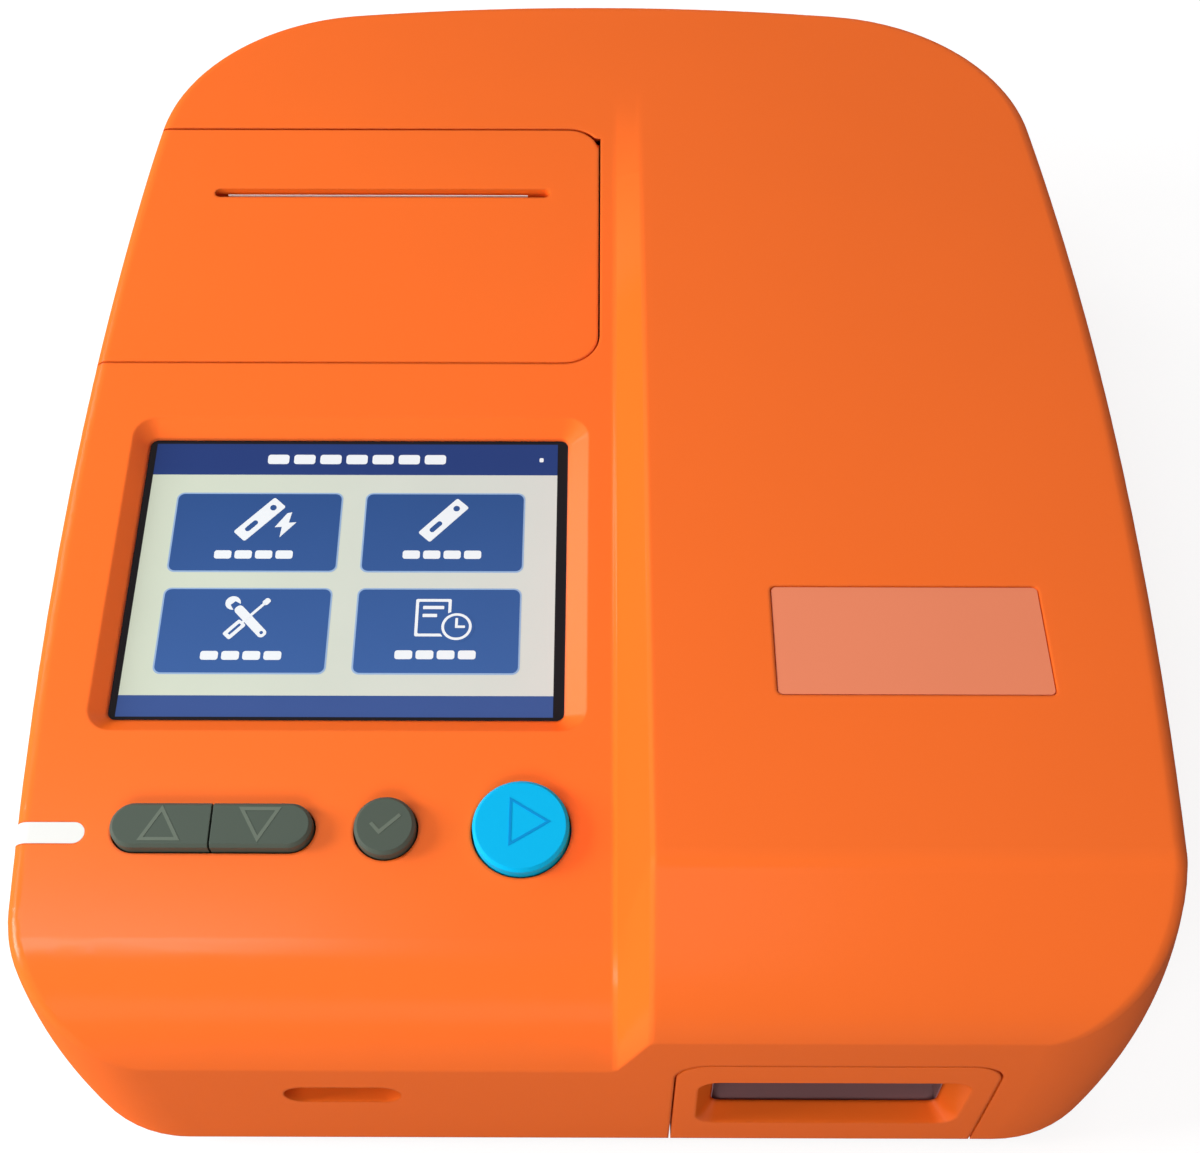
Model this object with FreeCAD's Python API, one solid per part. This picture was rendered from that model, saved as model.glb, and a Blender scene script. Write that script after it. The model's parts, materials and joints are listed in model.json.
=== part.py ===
import FreeCAD, Part
import math
import os
from FreeCAD import Vector as V

# Sizes in mm. X to the right, Y to the back, Z up. Origin: middle of the footprint, on the table.
# Panel coordinates are x, w up the panel's slope from the display's centre, and n out of the panel.

# clearances
GAP = 0.3               # seams and play around moving pieces
SLIDE = 0.4             # drawer to guide, and boards and frames to the walls beside them
PIN_GAP = 0.05          # shafts in holes
PRINT_GAP = 0.04        # paper to print head and platen
PORT_GAP = 0.2          # sockets and plates in their openings

# casing
TOP_Z = 67.5            # flat top of the raised right block
SKIRT_Z = 3.5           # lower edge of the top casing
HALF_W = 92.0           # widest half width
FRONT_Y = -110.0
REAR_Y = 110.0
FRONT_R = 22.0          # plan corner radii
REAR_R = 40.0
SIDE_ARC_R = 900.0      # bowed sides
REAR_ARC_R = 420.0      # bowed back
WIDE_Y = -8.0           # where the casing is widest
MID_Z = 36.0            # height of the widest contour
SKIRT_IN = (0.8, 0.6, 0.8)                  # skirt moved in at the sides, front and back
LEAN_UP = 4.5           # the upper contour lies this far above the top
LEAN_IN = (5.5, 0.0, 4.5)                   # upper contour moved in at the sides, front and back
WALL = 2.5
EDGE_R = 2.4            # rounding along the block's right edge
REACH = 30.0            # cutting shapes end this far outside the casing

# display panel, raised block and the step between them
TILT = 7.0
LCD_Y = -31.8           # display centre
PANEL_DROP = 12.2       # panel below the top, at the display's centre
BEND_R = 18.0           # front bend of the panel
BEND_OUT = 0.6          # how far the bend would reach past the front face
CREST_Y = -91.6         # front edge of the block's top
CREST_R = 4.0
CREASE_DROP = 18.0      # where the block's sloped face meets the front, below the top
CREASE_SOFT = 9.0       # length of the rounding there
CREASE_IN = 0.12        # share of the sloped face that the rounding takes
STEP_RUN = 5.8          # the step from its foot to its top
BLEND = 14.0            # half length of the soft run from panel slope to flat top

# display
LCD_X = 50.8 - HALF_W    # left-hand pieces keep their distance from the left side
LCD_W, LCD_H = 70.08, 52.56
MODULE = (77.0, 64.0, 3.2)
MODULE_DOWN = 2.0       # module centre below the display's centre
LIT_T = 0.5
RECESS_OUT = (79.3, 60.1, 4.0)              # width, height and corner radius at the panel
RECESS_IN = (72.8, 53.6, 1.2)               # the same at the glass
RECESS_SHIFT = 0.55     # recess mouth to the right of its foot
LCD_POST_OUT = (41.7, 31.0)
LCD_POST_R = 2.2
BRACKET = (44.1, 35.0, 2.0)                 # half width, half height, thickness
BRACKET_HOLE = (34.0, 27.0)

# keys
KEY_W = -46.4
PILL = (31.4, 7.8)
PILL_X = LCD_X - 16.5
PILL_STEM = 8.4         # each half's stem, from the middle
OK_X, OK_D = LCD_X + 9.9, 10.0
START_X, START_D = LCD_X + 30.6, 15.4
KEY_PROUD = 2.1
KEY_EDGE = 0.5
KEY_TRAVEL = 1.0
KEY_FLANGE, FLANGE_T = 1.2, 1.4
STEM_R, TIP_R, STEM_L, TIP_L = 2.0, 1.75, 2.2, 3.1
SWITCH_SIDE, SWITCH_H = 6.0, 3.5
BOARD_T = 1.6
KEY_BOARD = (LCD_X - 43.8, LCD_X + 38.8, -55.0, -36.6)
KEY_POSTS = [(LCD_X - 37.3, -52.4), (LCD_X + 18.9, -52.4), (LCD_X + 1.6, -38.9)]
KEY_POST_R = 1.9
PLUG = (LCD_X - 18.8, LCD_X - 4.8, -41.0, -37.4, 3.0)

# light bar in the left edge
BAR_W, BAR_WIDTH, BAR_END_X, BAR_DROP = -47.0, 3.4, LCD_X - 36.1, 9.0
LAMP_X, LAMP_SIDE = LCD_X - 41.3, 3.0

# printer cover, hinge and slit
DOOR_X, DOOR_W0, DOOR_W1, DOOR_R = LCD_X + 42.0, 42.3, 98.6, 6.0
HINGE_BACK, HINGE_N = 7.0, -5.6             # hinge before the cover's rear edge, and below the panel
COVER_RISE = 5.3                            # from the hinge up to the cover's outer face at its rear edge
COVER_OPEN = 75.0
HINGE_PIN_R, KNUCKLE_R, LUG_R = 1.0, 2.6, 2.2
KNUCKLES, KNUCKLE_L, LUG_T = (LCD_X - 25.0, LCD_X + 17.0), 8.0, 3.5
SLIT_X, SLIT_L, SLIT_W, SLIT_T = LCD_X + 0.9, 63.6, 82.1, 2.0

# printer tub, roll and print mechanism
TUB_X0, TUB_X1, TUB_T = LCD_X - 38.3, LCD_X + 43.2, 2.0
TUB_FRONT, TUB_REAR = 1.3, 3.6              # tub walls before and behind the cover's edges
TUB_N = -43.0
TUB_NOTCH_W, TUB_NOTCH_N = 85.0, -11.0      # the rear is lower, under the hinge
TUB_POST_SIDE, TUB_POST_IN = 5.0, 6.0
PAPER_WIDTH, PAPER_T = 57.0, 0.12
PAPER_END = -0.6        # the paper's end in the slit
ROLL_R, ROLL_W, ROLL_N = 15.0, 62.0, -25.0
CORE_R = 6.5
SPINDLE_R = 2.5
SPINDLE_HALF = 34.4
CRADLE_HALF, CRADLE_T, CRADLE_W = 33.3, 2.5, 12.0
FRAME_HALF, FRAME_T, FRAME_TOP = 34.3, 2.0, -9.0
FRAME_FRONT = 4.1       # the frame starts this far before the slit
HEAD_N, HEAD_WALL = (-17.0, -9.5), 1.6
PLATEN_R, PLATEN_N = 4.0, -14.0
PLATEN_SHAFT_R, IDLER_PIN_R, FEED_SHAFT_R = 1.5, 1.2, 1.0
RUBBER_HALF = 29.4
FEED_M = 0.5
FEED_TEETH = (22, 14, 12)                   # platen, idler, motor
FEED_GEAR_OUT, FEED_GEAR_T = 0.4, 2.8       # gears beside the frame
FEED_MOTOR_R, FEED_MOTOR_L, FEED_SHAFT_IN = 6.3, 11.0, 5.0

# bare label plate in the block's top
LABEL_X, LABEL_Y = HALF_W - 43.3, -54.6     # right-hand pieces keep their distance from the right side
LABEL_L, LABEL_D, LABEL_R, LABEL_DEEP = 41.8, 20.2, 1.0, 0.6

# chip slot in the front, and its socket
CHIP_X, CHIP_Z, CHIP_L, CHIP_H = LCD_X + 3.2, 24.0, 18.0, 6.4
CHIP_SLEEVE = 7.0       # how deep the casing's wall is round the slot
CHIP_SOCKET = (19.2, 22.0)                  # width, and its back from the front face
CHIP_HOLE = (15.0, 5.0, 19.0)               # width, height, and its end from the front face

# drawer
DRAWER_X, DRAWER_HALF, DRAWER_TOP, DRAWER_R = HALF_W - 54.7, 24.3, 36.6, 5.0
FRONT_T = 4.0
MOUTH_OUT, MOUTH_R = 21.0, 3.5
MOUTH_IN, MOUTH_R_IN = 17.9, 1.5
MOUTH_LOW, MOUTH_HIGH = 11.4, 30.0          # funnel at the front face
MOUTH_LOW_IN, MOUTH_HIGH_IN = 11.9, 26.0    # funnel at its inner end
TRAY_HALF, TRAY_LOW, TRAY_FLOOR, TRAY_TOP = 20.3, 8.0, 11.6, 20.0
TRAY_REAR = -24.0
TRAY_RIB, TRAY_RIB_H = 5.0, 3.0
GROOVE_Z, GROOVE_IN = (10.6, 13.4), 1.4
GUIDE_OUT, GUIDE_TOP = 2.8, 14.4
RAIL_IN = 1.0
MODULUS = 0.8
PINION_TEETH = 18
PINION_Y = -80.0
RACK_BACK = 2.5         # rack pitch line to the tray's side
RACK_Z0, RACK_Z1 = 15.0, 18.8
PINION_SHAFT_R = 1.5
SHAFT_TOP = 33.0
MOTOR_BRACKET_Z, BRACKET_T = 20.0, 1.5
DRAWER_MOTOR_R, DRAWER_MOTOR_H = 7.5, 14.0

# optical head over the tray
OPTIC_Y, OPTIC_Z = -39.0, 32.5
BRIDGE_Y, BRIDGE_T, BRIDGE_LEG = (-52.0, -26.0), 2.5, 2.8
BRIDGE_IN, BRIDGE_OUT = 3.6, 4.4            # legs clear of the tray, on the left and on the right
LENS_R, LENS_Z = 5.0, (28.5, 34.5)
HEAD_HALF, HEAD_Y, HEAD_H = 11.5, (-50.0, -28.0), 17.5
BARREL_R, BARREL_Z, BARREL_L = 5.5, 42.0, 6.0
CAP_R, CAP_H = 7.0, 5.0

# back panel
SWITCH_X, SWITCH_Z = HALF_W - 60.0, 20.5
SWITCH_BODY = (19.0, 13.0, 16.0)
SWITCH_RIM, SWITCH_RIM_T = 1.4, 1.2
SWITCH_SUNK = 1.4
ROCKER = (7.4, 4.4)                         # half length and half height
ROCK = 7.0                                  # the rocker's lean at rest, off
ROCKER_PIN_R = 1.2
JACK_X, USB_X = LCD_X + 5.2, LCD_X + 29.2
JACK = (9.0, 11.0, 16.0)                    # width, height, depth
USB, USB_T = (13.2, 7.2, 16.5), 0.6
PAD_IN = 5.5            # thick wall behind the switch
BACK_CUT = 20.0         # how far the back openings are cut in

# boards, battery and speaker, on the base
BASE_T = 2.0
BOARD_Z = 11.5
BOARD = (26.0 - HALF_W, DRAWER_X - 31.3, -98.0, -6.0)
IO_BOARD_L, IO_BOARD_D, IO_BOARD_IN = 56.0, 20.8, 4.0
POST_SIDE, POST_IN = 5.0, 4.0
CHIPS = [(36, 50, 38, 52, 1.6), (12, 22, 54, 64, 1.4), (-18, -8, 64, 78, 1.8),
         (6, 26, 82, 89, 5.5), (32, 52, 82, 88, 5.0), (4, 9, 18, 42, 6.0)]     # x0, x1, y0, y1, height
CANS = [(-14, 22), (-14, 34)]               # x below zero counts from the board's right edge
CAN_R, CAN_H = 4.0, 8.0
IO_CHIPS = [(22, 30, 2, 8, 1.5), (44, 54, 2, 7, 6.0)]
SPEAKER_X, SPEAKER_Y, SPEAKER_R, SPEAKER_H = LCD_X + 1.2, 38.0, 14.0, 5.5
BATTERY, BATTERY_H, BATTERY_R = (TUB_X1 + 16.0, HALF_W - 12.0, 30.0, 76.0), 19.5, 4.0
NEST_SIDE, NEST_H = 4.0, 7.0
SLOT_L, SLOT_W, SLOT_STEP = 26.0, 2.6, 8.0  # vent and speaker slots
VENT_X, VENT_Y, VENTS, SPEAKER_SLOTS = LCD_X + 2.2, -66.0, 5, 3

# fixings
BOSS_R = 4.0
SCREW_R, SCREW_HEAD_R, SCREW_HEAD_H, SCREW_L = 1.2, 2.9, 1.1, 9.0
FOOT_R, FOOT_SUNK = 6.0, 0.5
SCREW_IN = (16.0, 18.0, 22.0, 22.0)         # in from the side and front, then from the side and back
FOOT_IN = (16.0, 38.0, 18.0, 44.0)

# worked out
PANEL_Z = TOP_Z - PANEL_DROP
LEAN_Z = TOP_Z + LEAN_UP
FLOOR_Z = SKIRT_Z + BASE_T
TAN = math.tan(math.radians(TILT))
COS = math.cos(math.radians(TILT))
SIN = math.sin(math.radians(TILT))
BLOCK_SLOPE = math.atan2(CREASE_DROP, CREST_Y - FRONT_Y)
MERGE_Y = LCD_Y + PANEL_DROP / TAN
SIDE_X = HALF_W + REACH
STEP_X0 = LCD_X + 44.6
STEP_X1 = STEP_X0 + STEP_RUN
GLASS_N = -WALL - 0.1
FLANGE_N = -WALL - GAP
STEM_N = FLANGE_N - FLANGE_T - STEM_L
SWITCH_TOP = STEM_N - KEY_TRAVEL - 0.6
KEY_BOARD_N = SWITCH_TOP - SWITCH_H
HINGE_W = DOOR_W1 - HINGE_BACK
TUB_W0, TUB_W1 = DOOR_W0 - TUB_FRONT, DOOR_W1 - TUB_REAR
PLATEN_W = SLIT_W + PAPER_T / 2 + PRINT_GAP + PLATEN_R
FRAME_X = (LCD_X - FRAME_HALF, LCD_X + FRAME_HALF)
FRAME_W = (SLIT_W - FRAME_FRONT, TUB_W1 - TUB_T - SLIDE)
RUBBER_X = (LCD_X - RUBBER_HALF, LCD_X + RUBBER_HALF)
FEED_GEAR_X = (FRAME_X[1] + FEED_GEAR_OUT, FRAME_X[1] + FEED_GEAR_OUT + FEED_GEAR_T)
IDLER_N = PLATEN_N - FEED_M * (FEED_TEETH[0] + FEED_TEETH[1]) / 2
FEED_N = IDLER_N - FEED_M * (FEED_TEETH[1] + FEED_TEETH[2]) / 2
TRAY_FRONT = FRONT_Y + FRONT_T
GUIDE_FRONT, GUIDE_REAR = TRAY_FRONT + 2.0, TRAY_REAR + 2.0
PINION_X = DRAWER_X + TRAY_HALF + RACK_BACK + MODULUS * PINION_TEETH / 2
BOARD_TOP = BOARD_Z + BOARD_T
KEYS = {"up": PILL_X - PILL_STEM, "down": PILL_X + PILL_STEM, "ok": OK_X, "start": START_X}
LCD_POSTS = [(LCD_X + i * LCD_POST_OUT[0], j * LCD_POST_OUT[1]) for i in (-1, 1) for j in (-1, 1)]
PARTS = {}


def rear_y(x):
    """The casing's back at x."""
    return REAR_Y - x * x / (2 * REAR_ARC_R)


SWITCH_Y = rear_y(SWITCH_X + SWITCH_BODY[0] / 2 + SWITCH_RIM) - SWITCH_SUNK
IO_X, IO_REAR = LCD_X - 10.8, rear_y(LCD_X - 10.8) - IO_BOARD_IN
IO_BOARD = (IO_X, IO_X + IO_BOARD_L, IO_REAR - IO_BOARD_D, IO_REAR)


def corners_of(x0, x1, y0, y1):
    return [(x, y) for x in (x0, x1) for y in (y0, y1)]


def corner_places(inset):
    """Four places near the casing's corners."""
    front_x, front_y, rear_x, rear_in = inset
    front = [(s * (HALF_W - front_x), FRONT_Y + front_y) for s in (-1, 1)]
    return front + [(s * (HALF_W - rear_x), REAR_Y - rear_in) for s in (-1, 1)]


SCREWS = corner_places(SCREW_IN)
FEET = corner_places(FOOT_IN)


# ---- basic shapes

def arc(a, m, b):
    return Part.Arc(a, m, b).toShape()


def box(x0, x1, y0, y1, z0, z1):
    return Part.makeBox(x1 - x0, y1 - y0, z1 - z0, V(x0, y0, z0))


def post(x, y, side, z0, z1):
    return box(x - side / 2, x + side / 2, y - side / 2, y + side / 2, z0, z1)


def rod(r, a, b):
    return Part.makeCylinder(r, (b - a).Length, a, b - a)


def rod_x(r, x0, x1, y, z):
    return rod(r, V(x0, y, z), V(x1, y, z))


def stem(x, y, z0, z1, r):
    return Part.makeCylinder(r, z1 - z0, V(x, y, z0))


def pair(centre, a, b):
    """Interval between a and b, both measured from centre, in rising order."""
    return sorted((centre + a, centre + b))


def rounded(cx, cy, w, h, r, z):
    """Wire of a rectangle with round corners."""
    x0, x1, y0, y1 = cx - w / 2, cx + w / 2, cy - h / 2, cy + h / 2
    k = r * (1 - math.sqrt(0.5))
    p = [V(x0 + r, y0, z), V(x1 - r, y0, z), V(x1, y0 + r, z), V(x1, y1 - r, z),
         V(x1 - r, y1, z), V(x0 + r, y1, z), V(x0, y1 - r, z), V(x0, y0 + r, z)]
    m = [V(x1 - k, y0 + k, z), V(x1 - k, y1 - k, z), V(x0 + k, y1 - k, z), V(x0 + k, y0 + k, z)]
    edges = []
    for i in range(4):
        a, b, c = p[2 * i], p[2 * i + 1], p[(2 * i + 2) % 8]
        if (b - a).Length > 1e-6:
            edges.append(Part.makeLine(a, b))
        edges.append(arc(b, m[i], c))
    return Part.Wire(edges)


def rounded_block(cx, cy, w, h, r, z0, z1):
    return Part.Face(rounded(cx, cy, w, h, r, z0)).extrude(V(0, 0, z1 - z0))


def slot_block(cx, cy, w, h, z0, z1):
    """Block with half round ends."""
    return rounded_block(cx, cy, w, h, min(w, h) / 2 - 0.01, z0, z1)


def funnel(low, high):
    """Solid between two rounded rectangles, each given as cx, cy, w, h, r, z."""
    return Part.makeLoft([rounded(*low), rounded(*high)], True, True)


def prism(points, along):
    """Extrudes a closed polygon."""
    return Part.Face(Part.makePolygon(points + points[:1])).extrude(along)


def gear(teeth, m, low, high, bore, slack):
    """Spur gear about Z with involute flanks; slack thins each tooth at the pitch circle."""
    rp = teeth * m / 2
    rb = rp * math.cos(math.radians(20))
    ra = rp + 0.9 * m
    rr = rp - 1.15 * m

    def inv(r):
        t = math.acos(min(1.0, rb / r))
        return math.tan(t) - t

    half = math.pi / (2 * teeth) - slack / (2 * rp)
    foot = max(rr, rb)
    flank = [(foot + (ra - foot) * k / 2, half + inv(rp) - inv(foot + (ra - foot) * k / 2)) for k in range(3)]
    if rr < rb:
        flank.insert(0, (rr, half + inv(rp)))
    points = []
    for i in range(teeth):
        c = 2 * math.pi * i / teeth
        points += [V(r * math.cos(c - a), r * math.sin(c - a), low) for r, a in flank]
        points += [V(r * math.cos(c + a), r * math.sin(c + a), low) for r, a in reversed(flank)]
    return prism(points, V(0, 0, high - low)).cut(stem(0, 0, low, high, bore))


PANEL = FreeCAD.Placement(V(0, LCD_Y, PANEL_Z), FreeCAD.Rotation(V(1, 0, 0), TILT))


def on_panel(shape):
    """Moves a shape built in panel coordinates to its place."""
    s = shape.copy()
    s.Placement = PANEL.multiply(s.Placement)
    return s


# ---- casing

def outline(z, moved_in, inset):
    """Plan contour of tangent arcs at one height, as a list of runs: start, middle and end."""
    side_in, front_in, rear_in = moved_in
    w = HALF_W - side_in - inset
    y0 = FRONT_Y + front_in + inset
    y1 = REAR_Y - rear_in - inset
    rs, rb = SIDE_ARC_R - inset, REAR_ARC_R - inset
    rr, rf = REAR_R - inset, FRONT_R - inset
    side = V(w - rs, WIDE_Y, z)
    back = V(0, y1 - rb, z)
    # centre of the rear corner, which touches the side's arc and the back's arc
    across = back - side
    d = across.Length
    along = ((rs - rr) ** 2 - (rb - rr) ** 2 + d * d) / (2 * d)
    off = math.sqrt((rs - rr) ** 2 - along ** 2)
    n = V(across.y, -across.x, 0) * (1 / d)
    both = [side + across * (along / d) + n * s for s in (off, -off)]
    rear = max(both, key=lambda p: p.x + p.y)
    front = V(side.x + math.sqrt((rs - rf) ** 2 - (y0 + rf - WIDE_Y) ** 2), y0 + rf, z)

    def reach(c, to, r):
        return c + (to - c) * (r / (to - c).Length)

    def middle(c, p, q, r):
        return reach(c, (p + q) * 0.5, r)

    at_back, at_side, at_front = reach(back, rear, rb), reach(side, rear, rs), reach(side, front, rs)
    widest = V(w, WIDE_Y, z)
    nose = V(front.x, y0, z)
    right = [(nose, middle(front, nose, at_front, rf), at_front),
             (at_front, middle(side, at_front, widest, rs), widest),
             (widest, middle(side, widest, at_side, rs), at_side),
             (at_side, middle(rear, at_side, at_back, rr), at_back)]
    left = [tuple(V(-p.x, p.y, z) for p in reversed(run)) for run in reversed(right)]
    return [(V(-nose.x, y0, z), V(0, y0, z), nose)] + right + [(at_back, V(0, y1, z), left[0][0])] + left


def wire_of(runs):
    """Closed wire through the runs of one contour; the first is straight."""
    return Part.Wire([Part.makeLine(runs[0][0], runs[0][2])] + [arc(*run) for run in runs[1:]])


def shoulder(run):
    """Middle pole and weight of the quadratic that draws a run exactly."""
    a, m, b = run
    chord = (a + b) * 0.5
    rise = (m - chord).Length
    if rise < 1e-6:
        return chord, 1.0
    half = (b - a).Length / 2
    turn = 2 * math.atan2(rise, half)
    return chord + (m - chord) * (half * math.tan(turn) / rise), math.cos(turn)


def side_face(runs):
    """Smooth face through the same run at three heights."""
    t = (runs[1][0].z - runs[0][0].z) / (runs[2][0].z - runs[0][0].z)
    share = ((1 - t) ** 2, 2 * t * (1 - t), t ** 2)
    grid = []
    for k in range(3):
        column = [shoulder(run) if k == 1 else (run[k], 1.0) for run in runs]
        low, middle, high = [(pole * weight, weight) for pole, weight in column]
        pole = (middle[0] - low[0] * share[0] - high[0] * share[2]) * (1 / share[1])
        weight = (middle[1] - low[1] * share[0] - high[1] * share[2]) / share[1]
        grid.append([low, (pole, weight), high])
    poles = [[p * (1 / w) for p, w in column] for column in grid]
    weights = [[w for p, w in column] for column in grid]
    face = Part.BSplineSurface()
    face.buildFromPolesMultsKnots(poles, [3, 3], [3, 3], [0, 1], [0, 1], False, False, 2, 2, weights)
    return face.toShape()


def hull(levels):
    """Closed solid with smooth sides through three contours."""
    sides = [side_face(runs) for runs in zip(*levels)]
    caps = []
    for z in (levels[0][0][0].z, levels[2][0][0].z):
        rim = [e for f in sides for e in f.Edges if max(abs(v.Z - z) for v in e.Vertexes) < 1e-5]
        caps.append(Part.Face(Part.Wire(Part.__sortEdges__(rim))))
    shell = Part.makeShell(sides + caps)
    shell.sewShape()
    solid = Part.Solid(shell)
    if solid.Volume < 0:
        solid.reverse()
    return solid


def panel_z(y, inset=0.0):
    return PANEL_Z + (y - LCD_Y) * TAN - inset / COS


def panel_side(inset):
    """Poles of the profile over the panel: front bend, crown, then the soft run to the flat top."""
    r = BEND_R - inset
    yc = FRONT_Y - BEND_OUT + BEND_R
    zc = panel_z(yc) - BEND_R / COS
    a0, a1 = math.radians(180), math.radians(90 + TILT)
    k = 4.0 / 3.0 * math.tan((a0 - a1) / 4) * r
    p0 = (yc + r * math.cos(a0), zc + r * math.sin(a0))
    p3 = (yc + r * math.cos(a1), zc + r * math.sin(a1))
    p1 = (p0[0] + k * math.sin(a0), p0[1] - k * math.cos(a0))
    p2 = (p3[0] - k * math.sin(a1), p3[1] + k * math.cos(a1))
    soft = CREST_R * math.tan(BLOCK_SLOPE / 2)
    crown = [(p3[0] + i * soft * COS, p3[1] + i * soft * SIN) for i in (1, 2)]
    bottom = MERGE_Y + inset * (1 / COS - 1) / TAN
    near, far = MERGE_Y - BLEND, MERGE_Y + BLEND
    run = [(near, panel_z(near, inset)), (bottom, TOP_Z - inset), (far, TOP_Z - inset)]
    return [p0, p1, p2, p3] + crown + run


def block_side(inset):
    """Poles of the profile over the raised block: front bend, sloped face, rounded crest, flat top."""
    t = TOP_Z - inset
    y = CREST_Y + inset * math.tan(BLOCK_SLOPE / 2)
    d = CREST_R * math.tan(BLOCK_SLOPE / 2)
    crest = [(y - d * math.cos(BLOCK_SLOPE), t - d * math.sin(BLOCK_SLOPE)), (y, t), (y + d, t)]
    front = FRONT_Y - BEND_OUT + inset
    corner = (front, t - (y - front) * math.tan(BLOCK_SLOPE))
    on_slope = tuple(c + CREASE_IN * (e - c) for c, e in zip(corner, crest[0]))
    bend = [(front, corner[1] - CREASE_SOFT), corner, on_slope]
    return bend + crest + [(MERGE_Y - BLEND, t), (MERGE_Y, t), (MERGE_Y + BLEND, t)]


def top_profile(x, s, inset):
    """Outline of the space above the casing at one x: s is 0 over the panel and 1 over the raised block."""
    both = zip(panel_side(inset), block_side(inset))
    p = [V(x, (1 - s) * a[0] + s * b[0], (1 - s) * a[1] + s * b[1]) for a, b in both]
    edges = []
    for i, j in ((0, 4), (3, 6), (6, 9)):
        curve = Part.BezierCurve()
        curve.setPoles(p[i:j])
        edges.append(curve.toShape())
    edges.insert(2, Part.makeLine(p[5], p[6]))
    low = p[0] - V(0, 0, REACH / 2)
    high = TOP_Z + REACH
    around = [p[8], V(x, p[8].y, high), V(x, FRONT_Y - REACH, high), V(x, FRONT_Y - REACH, low.z), low, p[0]]
    return Part.Wire(edges + Part.makePolygon(around).Edges)


def casing(inset, plain):
    """The casing's outer shape moved in by inset; plain has straight sides between its contours."""
    heights = ((SKIRT_Z, SKIRT_IN), (MID_Z, (0, 0, 0)), (LEAN_Z, LEAN_IN))
    levels = [outline(z, moved_in, inset) for z, moved_in in heights]
    if plain:
        body = Part.makeLoft([wire_of(runs) for runs in levels], True, True)
    else:
        body = hull(levels)
    panel = Part.Face(top_profile(-SIDE_X, 0, inset)).extrude(V(SIDE_X + STEP_X0, 0, 0))
    block = Part.Face(top_profile(STEP_X1, 1, inset)).extrude(V(SIDE_X, 0, 0))
    eased = ((0, 0), (0.12, 0.05), (0.88, 0.95), (1, 1))
    step = Part.makeLoft([top_profile(STEP_X0 + STEP_RUN * u, s, inset) for u, s in eased], True, True)
    rear = box(-SIDE_X, SIDE_X, MERGE_Y + BLEND, REAR_Y + REACH, TOP_Z - inset, TOP_Z + REACH)
    return body.cut([panel, step, block, rear]).removeSplitter()


def rear_turn(grow, least):
    """Space of the cover's rear edge turned about the hinge, smaller round the corner."""
    xc, wc = DOOR_X - DOOR_R, DOOR_W1 - DOOR_R
    points = []
    for i in range(7):
        a = math.radians(90 - 15 * i)
        reach = math.hypot(wc + DOOR_R * math.sin(a) - HINGE_W, COVER_RISE)
        points.append(V(xc + DOOR_R * math.cos(a) + grow, max(reach, least) + grow, 0))
    curve = Part.BSplineCurve()
    curve.interpolate(points)
    first, last = points[0], points[-1]
    line = Part.makePolygon([last, V(last.x, 0, 0), V(-SIDE_X, 0, 0), V(-SIDE_X, first.y, 0), first])
    solid = Part.Face(Part.Wire([curve.toShape()] + line.Edges)).revolve(V(0, 0, 0), V(1, 0, 0), 360)
    solid.translate(V(0, HINGE_W, HINGE_N))
    return solid.common(box(-SIDE_X, SIDE_X, HINGE_W, HINGE_W + REACH, -REACH, REACH))


def door_region(grow, least):
    """Space of the printer cover in panel coordinates, grown at its seams."""
    x1, w0, k = DOOR_X + grow, DOOR_W0 - grow, 1 - math.sqrt(0.5)
    r = DOOR_R + grow
    low = HINGE_N - grow - math.hypot(HINGE_BACK, COVER_RISE)
    turn = V(x1 - r, w0, low), V(x1 - k * r, w0 + k * r, low), V(x1, w0 + r, low)
    corners = [V(x1, HINGE_W, low), V(-SIDE_X, HINGE_W, low), V(-SIDE_X, w0, low)]
    rest = Part.makePolygon([turn[2]] + corners + [turn[0]])
    front = Part.Face(Part.Wire([arc(*turn)] + rest.Edges)).extrude(V(0, 0, REACH - low))
    return front.fuse(rear_turn(grow, least)).removeSplitter()


def front_slot(x, z, w, h, y0, y1):
    """Straight opening with half round ends, cut into the front."""
    s = slot_block(0, 0, w, h, 0, y1 - y0)
    s.rotate(V(0, 0, 0), V(1, 0, 0), -90)
    s.translate(V(x, y0, z))
    return s


def drawer_front_region(grow):
    """Space of the drawer's front, with its rounded top corners, grown at its seams."""
    height = DRAWER_TOP + grow + REACH
    s = rounded_block(0, 0, 2 * (DRAWER_HALF + grow), 2 * height, DRAWER_R, 0, 2 * REACH)
    s.rotate(V(0, 0, 0), V(1, 0, 0), 90)
    s.translate(V(DRAWER_X, FRONT_Y + REACH, -REACH))
    return s


def bar_region(grow):
    """Space of the light bar, round at its inner end."""
    w, end, low = BAR_WIDTH / 2 + grow, BAR_END_X - BAR_WIDTH / 2, -BAR_DROP - grow
    return on_panel(box(-SIDE_X, end, BAR_W - w, BAR_W + w, low, REACH).fuse(stem(end, BAR_W, low, REACH, w)))


def key_space(kind, grow, n0, n1):
    """Plan of one key, grown all round, between two depths."""
    if kind == "ok":
        return stem(OK_X, KEY_W, n0, n1, OK_D / 2 + grow)
    if kind == "start":
        return stem(START_X, KEY_W, n0, n1, START_D / 2 + grow)
    return slot_block(PILL_X, KEY_W, PILL[0] + 2 * grow, PILL[1] + 2 * grow, n0, n1)


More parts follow.
